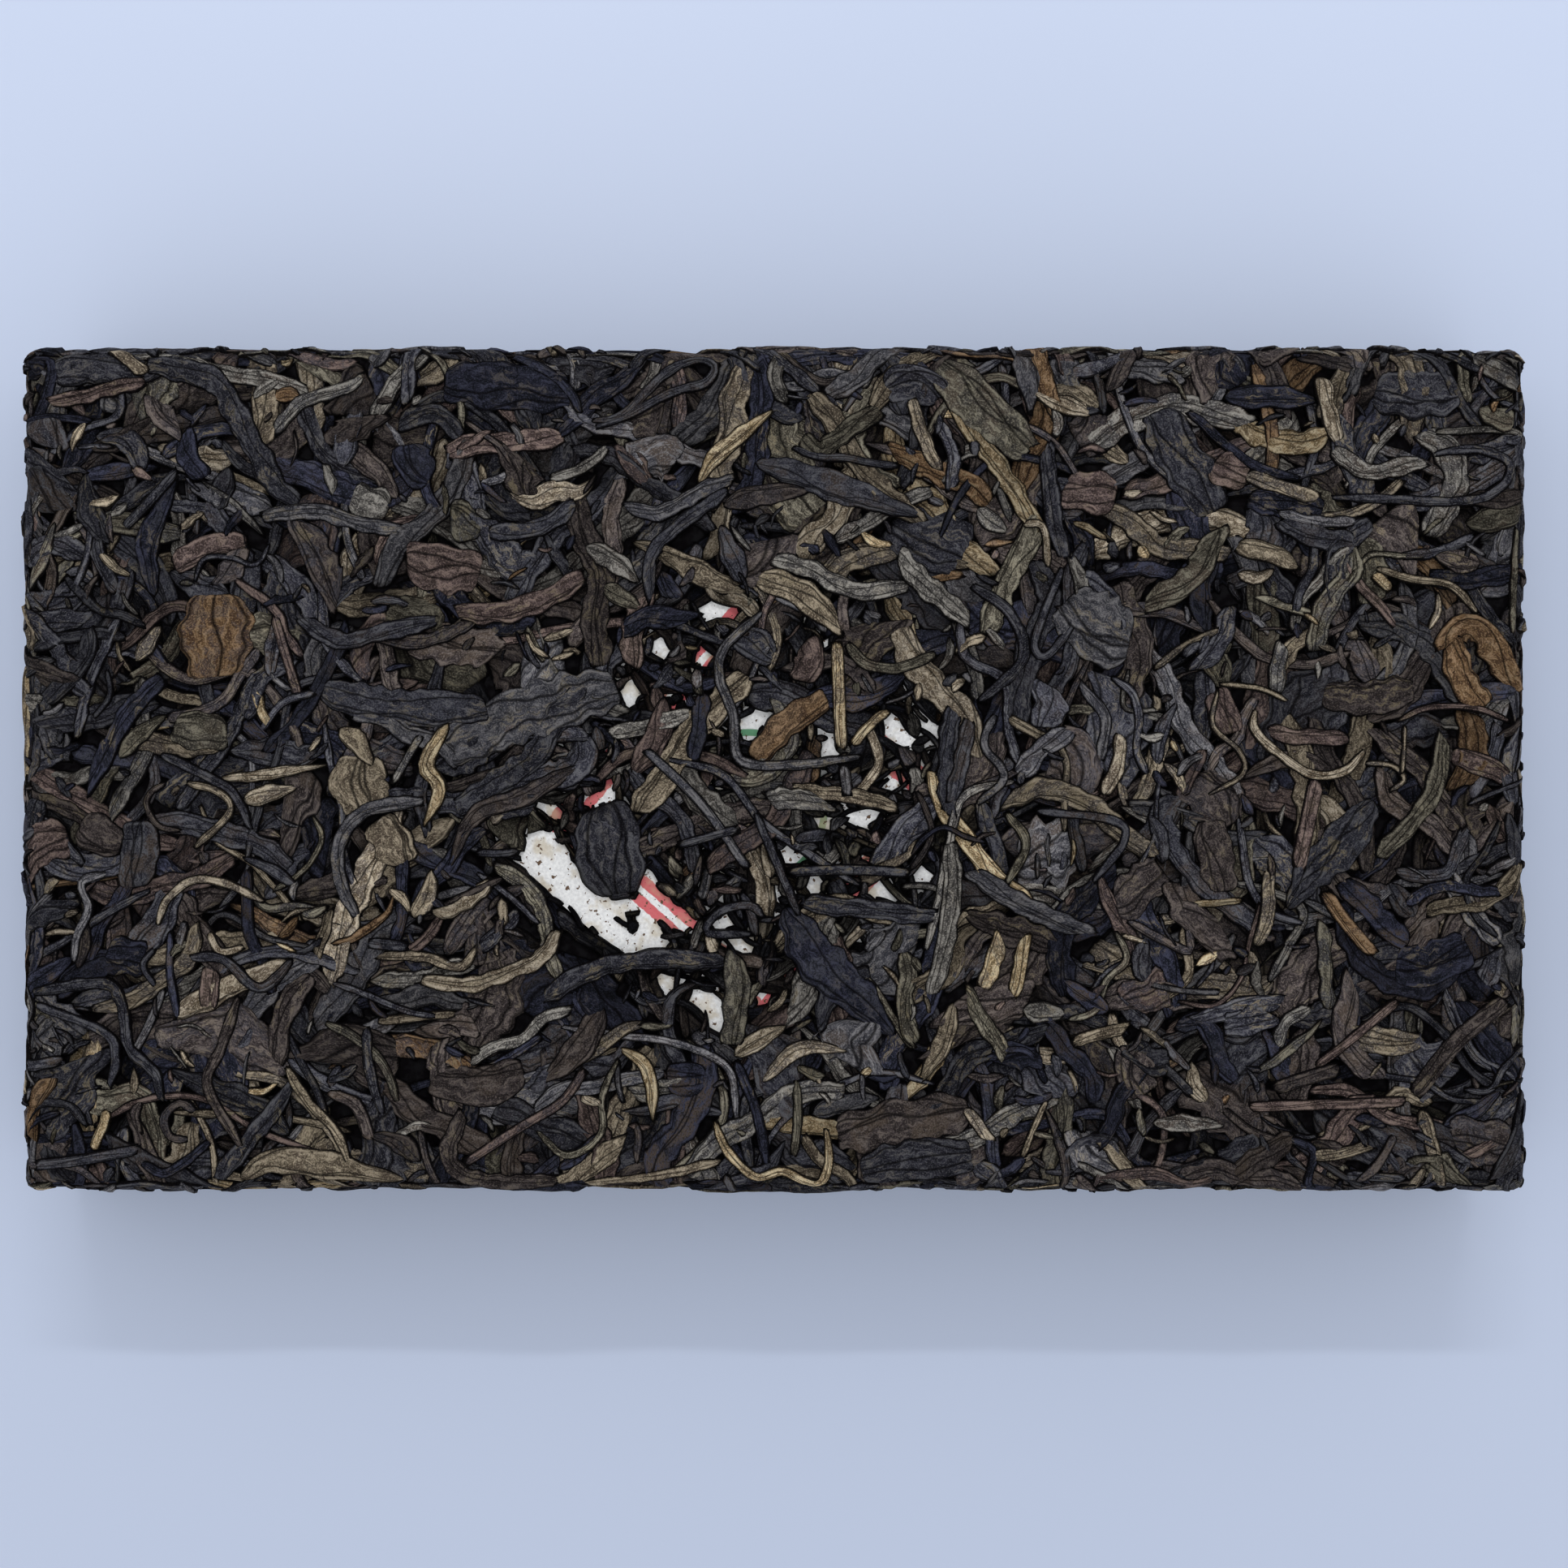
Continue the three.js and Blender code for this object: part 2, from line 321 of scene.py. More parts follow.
def lay_leaf(face, piece, kind, points, width, ceiling, coarse=1.0, light=(0.5, 1.5), closed=None):
    """Lays one leaf along a route on a face, draped over what is there, and adds it to a piece.

    How bright it is comes at random from the range of light given. It is left out where it would
    reach into a closed area."""
    form = FORMS[kind]
    step = form.step * coarse
    route = Route(points)
    rows = max(5, round(route.length / step) + 1)
    columns = form.columns if coarse == 1.0 else max(5, form.columns - 3)
    t = np.linspace(0, 1, rows)[:, None]
    s = np.sin(np.linspace(-1, 1, columns) * COLUMN_TURN)[None, :] / math.sin(COLUMN_TURN)
    x = t * route.length
    half = width / 2 * outline(kind, t, form.ends)
    cut = rng.normal(0, form.cut, 2)
    sides = [half * (1 + form.ragged * waves(x, 0, 3, (0.08, 0.5), (0, 0))) for _ in range(2)]
    across = s * np.where(s < 0, *sides)
    shift = across * (cut[0] * (1 - t) ** 2 + cut[1] * t**2)
    (u, v), (way_u, way_v) = route.at(x + shift)
    u = u - way_v * across
    v = v + way_u * across
    fine_u = refine(u, FINER)
    fine_v = refine(v, FINER)
    if closed is not None and closed[face.cells(fine_u, fine_v)].any():
        return
    ground = face.ground(u, v)
    middle = columns // 2
    right = settle(ground[:, : middle + 1].max(axis=1), step)
    left = settle(ground[:, middle:].max(axis=1), step)
    base = (left + right)[:, None] / 2 + s * (left - right)[:, None] / 2
    flat_top = np.sqrt(1 - np.abs(s) ** form.flatness) * (1 + form.curl * np.abs(s) ** 3)
    slim = min(1.0, width / 2)
    creases = waves(x, s, 4, (0.01, 0.12), (0.3, 1.4)) + 0.6 * waves(x, s, 3, (0.15, 0.5), (0.0, 0.6))
    rise = slim * (form.rise * flat_top * half / half.max() + form.ridge * creases)
    from_end = np.minimum(x, route.length - x)
    tuck = np.maximum(smooth_step(0.86, 1.0, np.abs(s)), 1 - smooth_step(0.0, 0.5 * step, from_end))
    floor = np.maximum(ground - EDGE_SINK, base - EDGE_HANG)
    lines = [rng.uniform(-0.95, 0.95) + 0.25 * waves(x, 0, 2, (0.02, 0.12), (0, 0)) for _ in range(3)]
    folds = [s - line for line in lines]
    step_up = sum(rng.choice([-1, 1]) * np.tanh(fold / 0.25) for fold in folds)
    h = press((base + rise) * (1 - tuck) + floor * tuck, ceiling) + slim * FOLD_STEP * step_up * (1 - tuck)
    face.raise_to(fine_u, fine_v, refine(h, FINER))
    shape = (rows, columns)
    leaves.setdefault(piece, []).append(
        {
            "place": face.wrap(u, v, h),
            "along": np.broadcast_to(x, shape),
            "across": np.broadcast_to(s * width / 2, shape),
            "folds": np.stack([*(fold / FOLD_SPAN + 0.5 for fold in folds), np.ones(shape)], axis=-1),
            "inset": np.clip(np.minimum((1 - np.abs(s)) * half, from_end) / INSET_REACH, 0, 1),
            "tint": np.full(shape, rng.random()),
            "dust": np.full(shape, rng.random()),
            # Each leaf is made lighter or darker at random, then darkened by the painted crevice shade the
            # lower it lies
            "brightness": rng.uniform(*light) * painted_crevice_shade(h),
            "offset": rng.uniform(0, 400, 2),
        }
    )


def pack_rectangles(sizes):
    """Places rectangles on shelves in a unit square: their lower left corners, and their scale."""
    order = np.argsort(-sizes[:, 1])
    side = math.sqrt(float((sizes[:, 0] * sizes[:, 1]).sum())) * 1.04
    while True:
        corners = np.zeros_like(sizes)
        x = y = shelf = 0.0
        for k in order:
            if x + sizes[k, 0] > side:
                x = 0.0
                y += shelf
                shelf = 0.0
            corners[k] = (x, y)
            x += sizes[k, 0]
            shelf = max(shelf, sizes[k, 1])
        if y + shelf <= side:
            return corners / side, 1 / side
        side *= 1.02


def to_linear(colour):
    c = np.array(colour, float) / 255
    return np.where(c <= 0.04045, c / 12.92, ((c + 0.055) / 1.055) ** 2.4)


def make_mesh(name, places, quads, uv_maps, colours):
    """A mesh from arrays: vertices in millimetres, quads, UV maps and colour attributes by vertex."""
    mesh = bpy.data.meshes.new(name)
    mesh.vertices.add(len(places))
    mesh.vertices.foreach_set("co", (places * MM).astype(np.float32).ravel())
    mesh.loops.add(quads.size)
    mesh.loops.foreach_set("vertex_index", quads.astype(np.int32).ravel())
    mesh.polygons.add(len(quads))
    mesh.polygons.foreach_set("loop_start", np.arange(0, quads.size, 4, dtype=np.int32))
    mesh.update(calc_edges=True)
    mesh.polygons.foreach_set("use_smooth", np.ones(len(quads), bool))
    for map_name, coordinates in uv_maps.items():
        layer = mesh.uv_layers.new(name=map_name)
        layer.data.foreach_set("uv", coordinates[quads.ravel()].astype(np.float32).ravel())
    for attribute_name, values in colours.items():
        attribute = mesh.attributes.new(attribute_name, "FLOAT_COLOR", "POINT")
        attribute.data.foreach_set("color", values.astype(np.float32).ravel())
    mesh.validate()
    return mesh


def add_piece(name, mesh, material, node):
    piece = bpy.data.objects.new(name, mesh)
    bpy.context.scene.collection.objects.link(piece)
    mesh.materials.append(material)
    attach(piece, "root")
    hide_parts(node)
    return piece


def grid_quads(rows, columns):
    index = np.arange(rows * columns).reshape(rows, columns)
    corners = [index[:-1, :-1], index[1:, :-1], index[1:, 1:], index[:-1, 1:]]
    return np.stack([c.ravel() for c in corners], axis=1)


def join_leaves(name, laid, material):
    """One piece of all the leaves laid for it, each with a patch of its own in the bake map."""
    gap = 0.25
    sizes = np.array([[p["along"].max() + gap, np.ptp(p["across"]) + gap] for p in laid])
    corners, scale = pack_rectangles(sizes)
    places, quads, bake, grain, colours, folds = [], [], [], [], [], []
    start = 0
    for p, corner in zip(laid, corners):
        rows, columns = p["along"].shape
        flat = np.stack([p["along"], p["across"] - p["across"].min()], axis=-1).reshape(-1, 2)
        places.append(p["place"].reshape(-1, 3))
        quads.append(grid_quads(rows, columns) + start)
        bake.append(corner + (flat + gap / 2) * scale)
        grain.append(flat / GRAIN_SIZE + p["offset"])
        colour = np.stack([p["tint"], p["brightness"], p["dust"], p["inset"]], axis=-1)
        colours.append(colour.reshape(-1, 4))
        folds.append(p["folds"].reshape(-1, 4))
        start += rows * columns
    uv_maps = {"OFBake": np.vstack(bake), "Grain": np.vstack(grain)}
    attributes = {"leaf": np.vstack(colours), "folds": np.vstack(folds)}
    mesh = make_mesh(name, np.vstack(places), np.vstack(quads), uv_maps, attributes)
    return add_piece(name, mesh, material, "brick")


class Nodes:
    """A few short calls to build a material's nodes."""

    def __init__(self, name):
        self.material = bpy.data.materials.new(name)
        self.material.use_nodes = True
        self.tree = self.material.node_tree
        self.shader = self.tree.nodes["Principled BSDF"]

    def add(self, kind, settings=None, **inputs):
        node = self.tree.nodes.new(kind)
        for key, value in (settings or {}).items():
            setattr(node, key, value)
        for key, value in inputs.items():
            self.join(value, node.inputs[key.replace("_", " ")])
        return node

    def join(self, value, socket):
        if isinstance(value, bpy.types.NodeSocket):
            self.tree.links.new(value, socket)
        elif isinstance(value, (tuple, list, np.ndarray)) and socket.type == "RGBA":
            socket.default_value = (*value, 1.0)
        else:
            socket.default_value = value

    def math(self, operation, a, b=0.0):
        node = self.tree.nodes.new("ShaderNodeMath")
        node.operation = operation
        self.join(a, node.inputs[0])
        self.join(b, node.inputs[1])
        return node.outputs[0]

    def mix(self, share, a, b, blend="MIX"):
        node = self.tree.nodes.new("ShaderNodeMix")
        node.data_type = "RGBA"
        node.blend_type = blend
        self.join(share, node.inputs[0])
        self.join(a, node.inputs[6])
        self.join(b, node.inputs[7])
        return node.outputs[2]

    def span(self, value, from_low, from_high, to_low=0.0, to_high=1.0):
        node = self.tree.nodes.new("ShaderNodeMapRange")
        node.interpolation_type = "SMOOTHSTEP"
        ends = (from_low, from_high, to_low, to_high)
        for socket, end in zip(list(node.inputs)[1:5], ends):
            socket.default_value = end
        self.join(value, node.inputs[0])
        return node.outputs[0]

    def noise(self, vector, scale, detail=4.0, roughness=0.55, dimensions="2D"):
        node = self.add("ShaderNodeTexNoise", {"noise_dimensions": dimensions}, Vector=vector)
        for key, value in (("Scale", scale), ("Detail", detail), ("Roughness", roughness)):
            node.inputs[key].default_value = value
        return node.outputs[0]

    def stretched(self, vector, scale):
        return self.add("ShaderNodeMapping", Vector=vector, Scale=scale).outputs[0]

    def warped(self, vector, scale, reach):
        """A place moved about by soft noise, so that what is drawn there is uneven."""
        flat = {"noise_dimensions": "2D"}
        drift = self.add("ShaderNodeTexNoise", flat, Vector=vector, Scale=scale, Detail=1.0)
        centred = self.add("ShaderNodeVectorMath", {"operation": "SUBTRACT"})
        centred.inputs[1].default_value = (0.5, 0.5, 0.5)
        self.tree.links.new(drift.outputs["Color"], centred.inputs[0])
        moved = self.add("ShaderNodeVectorMath", {"operation": "MULTIPLY_ADD"})
        moved.inputs[1].default_value = (reach, reach, reach)
        self.tree.links.new(centred.outputs[0], moved.inputs[0])
        self.tree.links.new(vector, moved.inputs[2])
        return moved.outputs[0]


def leaf_material(name, tone):
    """Dry pressed leaf: streaks along it and blotches, a painted highlight on a pale ridge just inside the
    edge, and painted shade drawn near black along the rim, the fold lines and the cracks.
    """
    body, shade, light = (to_linear(c) for c in TONES[tone])
    n = Nodes(name)
    grain = n.add("ShaderNodeUVMap", {"uv_map": "Grain"}).outputs[0]
    leaf = n.add("ShaderNodeAttribute", {"attribute_name": "leaf"})
    parts = n.add("ShaderNodeSeparateColor", Color=leaf.outputs["Color"])
    tint, brightness, dust = parts.outputs
    inset = n.math("MULTIPLY", leaf.outputs["Alpha"], INSET_REACH)
    warped = n.warped(grain, 9.0, 0.12)
    streaks = n.noise(n.stretched(warped, (5, 18, 1)), 1.0, 5.0, 0.68)
    patches = n.noise(grain, 2.6, 1.0, 0.6)
    blotches = n.noise(warped, 5.0, 3.0, 0.65)
    specks = n.noise(grain, 60.0, 1.0)
    colour = n.mix(n.span(streaks, 0.41, 0.51), shade, body)
    blush = n.math("MULTIPLY", n.span(patches, 0.48, 0.6), n.span(tint, 0.4, 1.0, 0.0, 0.7))
    colour = n.mix(blush, colour, to_linear(BLUSH))
    colour = n.mix(n.span(streaks, 0.53, 0.61), colour, light)
    bloom = n.math("MULTIPLY", n.span(blotches, 0.45, 0.58), n.span(dust, 0.5, 1.0, 0.0, 0.6))
    colour = n.mix(bloom, colour, to_linear(BLOOM))
    gilt = n.math("MULTIPLY", n.span(patches, 0.54, 0.42), n.span(tint, 0.7, 0.0, 0.0, 0.75))
    colour = n.mix(n.math("MULTIPLY", gilt, n.span(streaks, 0.5, 0.6)), colour, to_linear(GILT))
    colour = n.mix(n.span(blotches, 0.54, 0.68, 0.0, 0.6), colour, shade)
    colour = n.mix(n.span(specks, 0.56, 0.7, 0.0, 0.7), colour, light)
    colour = n.mix(n.span(specks, 0.44, 0.34, 0.0, 0.6), colour, shade)
    # Painted highlight: the light tone along a ridge just inside each leaf's edge, broken up by the blotches
    ridge = n.math("MULTIPLY", n.span(inset, 0.24, 0.34), n.span(inset, 0.6, 0.4))
    ridge = n.math("MULTIPLY", ridge, n.span(blotches, 0.5, 0.42, 0.0, 0.8))
    colour = n.mix(ridge, colour, light)
    # Multiplies in each leaf's random lightness and the painted crevice shade
    colour = n.mix(1.0, colour, brightness, "MULTIPLY")
    folds = n.add("ShaderNodeAttribute", {"attribute_name": "folds"})
    fold = None
    for past in n.add("ShaderNodeSeparateColor", Color=folds.outputs["Color"]).outputs:
        near = n.span(n.math("ABSOLUTE", n.math("SUBTRACT", past, 0.5)), 0.0, 0.1 / FOLD_SPAN, 1.0, 0.0)
        fold = near if fold is None else n.math("MAXIMUM", fold, near)
    to_edge = {"feature": "DISTANCE_TO_EDGE", "voronoi_dimensions": "2D"}
    cells = n.add("ShaderNodeTexVoronoi", to_edge, Vector=n.stretched(warped, (7, 13, 1)), Scale=1.0)
    cracks = n.math("MULTIPLY", n.span(cells.outputs[0], 0.0, 0.06, 1.0, 0.0), n.span(blotches, 0.42, 0.6))
    # Painted shade: the rim of each leaf, its fold lines and its cracks are drawn near black as crevices
    rim = n.span(inset, 0.27, 0.12)
    lines = n.math("MAXIMUM", n.math("MULTIPLY", fold, 0.85), n.math("MULTIPLY", cracks, 0.6))
    colour = n.mix(n.math("MAXIMUM", n.math("MULTIPLY", rim, 0.98), lines), colour, to_linear(CREVICE_SHADE))
    n.join(colour, n.shader.inputs["Base Color"])
    n.join(n.span(streaks, 0.3, 0.7, 0.75, 0.5), n.shader.inputs["Roughness"])
    n.shader.inputs["Specular IOR Level"].default_value = DRY_GLOSS
    wrinkles = n.noise(n.stretched(grain, (9, 26, 1)), 1.0, 4.0, 0.75)
    wrinkles = n.math("SUBTRACT", wrinkles, n.math("MULTIPLY", lines, 0.25))
    bump = n.add("ShaderNodeBump", Height=wrinkles, Strength=1.0, Distance=1.2 * MM)
    n.join(bump.outputs[0], n.shader.inputs["Normal"])
    return n.material


def core_material():
    n = Nodes("packed_core_shade")
    place = n.add("ShaderNodeTexCoord").outputs["Object"]
    lumps = n.noise(place, 900.0, 4.0, dimensions="3D")
    # Painted shade: the core shows only deep between the leaves, so its lumps are coloured near black
    colour = n.mix(n.span(lumps, 0.4, 0.65), to_linear(CREVICE_SHADE), to_linear(CORE_SHADE))
    n.join(colour, n.shader.inputs["Base Color"])
    n.shader.inputs["Roughness"].default_value = 0.85
    n.shader.inputs["Specular IOR Level"].default_value = DRY_GLOSS
    bump = n.add("ShaderNodeBump", Height=lumps, Strength=0.8, Distance=0.3 * MM)
    n.join(bump.outputs[0], n.shader.inputs["Normal"])
    return n.material


# The ticket's sheet and print, in millimetres from its middle, and its colours
SHEET_ROWS = 70
TICKET_WAVE = 0.12
FRAME_REACH = 13.2
FRAME_GAP = 0.4
FRAME_LINE = 1.4
RING_RADIUS = 7.6
RING_LINE = 0.4
LINE_BLUR = 0.1
PAPER_TONES = ((222, 222, 222), (244, 244, 243))
FRAME_RED = (205, 70, 78)
RING_GREEN = (60, 140, 90)
TEA_STAIN = (188, 172, 140)
TEA_FLECK = (96, 74, 56)


def ticket_place(x, y):
    """Points of the sheet in its own square, as points of the top."""
    c, s = math.cos(TICKET_TURN), math.sin(TICKET_TURN)
    return TICKET_MIDDLE[0] + c * x - s * y, TICKET_MIDDLE[1] + s * x + c * y


def lay_ticket():
    """A thin sheet with soft waves, which the leaves over it are then laid on."""
    reach = np.linspace(-TICKET_SIDE / 2, TICKET_SIDE / 2, SHEET_ROWS)
    x, y = np.meshgrid(reach, reach, indexing="ij")
    u, v = ticket_place(x, y)
    wave = waves(x, y, 6, (0.03, 0.16), (0.03, 0.16))
    h = TICKET_LEVEL + TICKET_WAVE * np.tanh(wave)
    top = FACES["top"]
    fine_u, fine_v, fine_h = (refine(grid, FINER) for grid in (u, v, h))
    top.pile[top.cells(fine_u, fine_v)] = fine_h
    top.start = np.minimum(top.start, top.pile)
    places = top.wrap(u, v, h).reshape(-1, 3)
    sheet = np.stack([x, y], axis=-1).reshape(-1, 2)
    uv_maps = {"OFBake": sheet / TICKET_SIDE * 0.98 + 0.5, "Sheet": sheet}
    mesh = make_mesh("paper_ticket", places, grid_quads(SHEET_ROWS, SHEET_ROWS), uv_maps, {})
    add_piece("paper_ticket", mesh, paper_material(), "inner_ticket")


def paper_material():
    """White paper with a plain printed red frame and green ring, stained brown by the leaves."""
    n = Nodes("printed_paper")
    sheet = n.add("ShaderNodeUVMap", {"uv_map": "Sheet"}).outputs[0]
    parts = n.add("ShaderNodeSeparateXYZ", Vector=sheet)
    x = n.math("ABSOLUTE", parts.outputs[0])
    y = n.math("ABSOLUTE", parts.outputs[1])
    far = n.math("MAXIMUM", x, y)
    from_frame = n.math("ABSOLUTE", n.math("SUBTRACT", far, FRAME_REACH))
    worn = n.noise(sheet, 1.3, 3.0)
    wobble = n.math("MULTIPLY", n.math("SUBTRACT", worn, 0.5), 0.4)
    from_frame = n.math("ADD", from_frame, wobble)
    on_frame = n.math(
        "MULTIPLY",
        n.span(from_frame, FRAME_LINE, FRAME_LINE - LINE_BLUR),
        n.span(from_frame, FRAME_GAP - LINE_BLUR, FRAME_GAP),
    )
    middle = n.add("ShaderNodeVectorMath", {"operation": "LENGTH"})
    n.tree.links.new(sheet, middle.inputs[0])
    from_ring = n.math("ABSOLUTE", n.math("SUBTRACT", middle.outputs["Value"], RING_RADIUS))
    on_ring = n.span(from_ring, RING_LINE, RING_LINE - LINE_BLUR)
    fibres = n.noise(sheet, 3.0, 5.0)
    colour = n.mix(n.span(fibres, 0.3, 0.7), *(to_linear(c) for c in PAPER_TONES))
    colour = n.mix(n.math("MULTIPLY", on_frame, 0.9), colour, to_linear(FRAME_RED))
    colour = n.mix(n.math("MULTIPLY", on_ring, 0.9), colour, to_linear(RING_GREEN))
    stains = n.span(n.noise(sheet, 0.35, 3.0), 0.5, 0.7, 0.0, 0.6)
    colour = n.mix(stains, colour, to_linear(TEA_STAIN))
    flecks = n.span(n.noise(sheet, 1.6, 2.0), 0.66, 0.7)
    colour = n.mix(flecks, colour, to_linear(TEA_FLECK))
    n.join(colour, n.shader.inputs["Base Color"])
    n.shader.inputs["Roughness"].default_value = 0.9
    bump = n.add("ShaderNodeBump", Height=fibres, Strength=0.4, Distance=0.1 * MM)
    n.join(bump.outputs[0], n.shader.inputs["Normal"])
    return n.material


def make_core():
    """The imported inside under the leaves: a rough rounded box."""
    rough = core_material()
    places, quads = [], []
    start = 0
    for face in FACES.values():
        counts = np.ceil(2 * face.half / CORE_CELL).astype(int)
        u, v = (np.linspace(-1, 1, n) * (r + WRAP - EDGE_RADIUS) for n, r in zip(counts, face.half))
        u, v = np.meshgrid(u, v, indexing="ij")
        h = face.core_level(u, v) - rng.uniform(0, 0.25, u.shape)
        places.append(face.wrap(u, v, h).reshape(-1, 3))
        quads.append(grid_quads(*u.shape) + start)
        start += u.size
    mesh = make_mesh("packed_core", np.vstack(places), np.vstack(quads), {}, {})
    return add_piece("packed_core", mesh, rough, "brick")


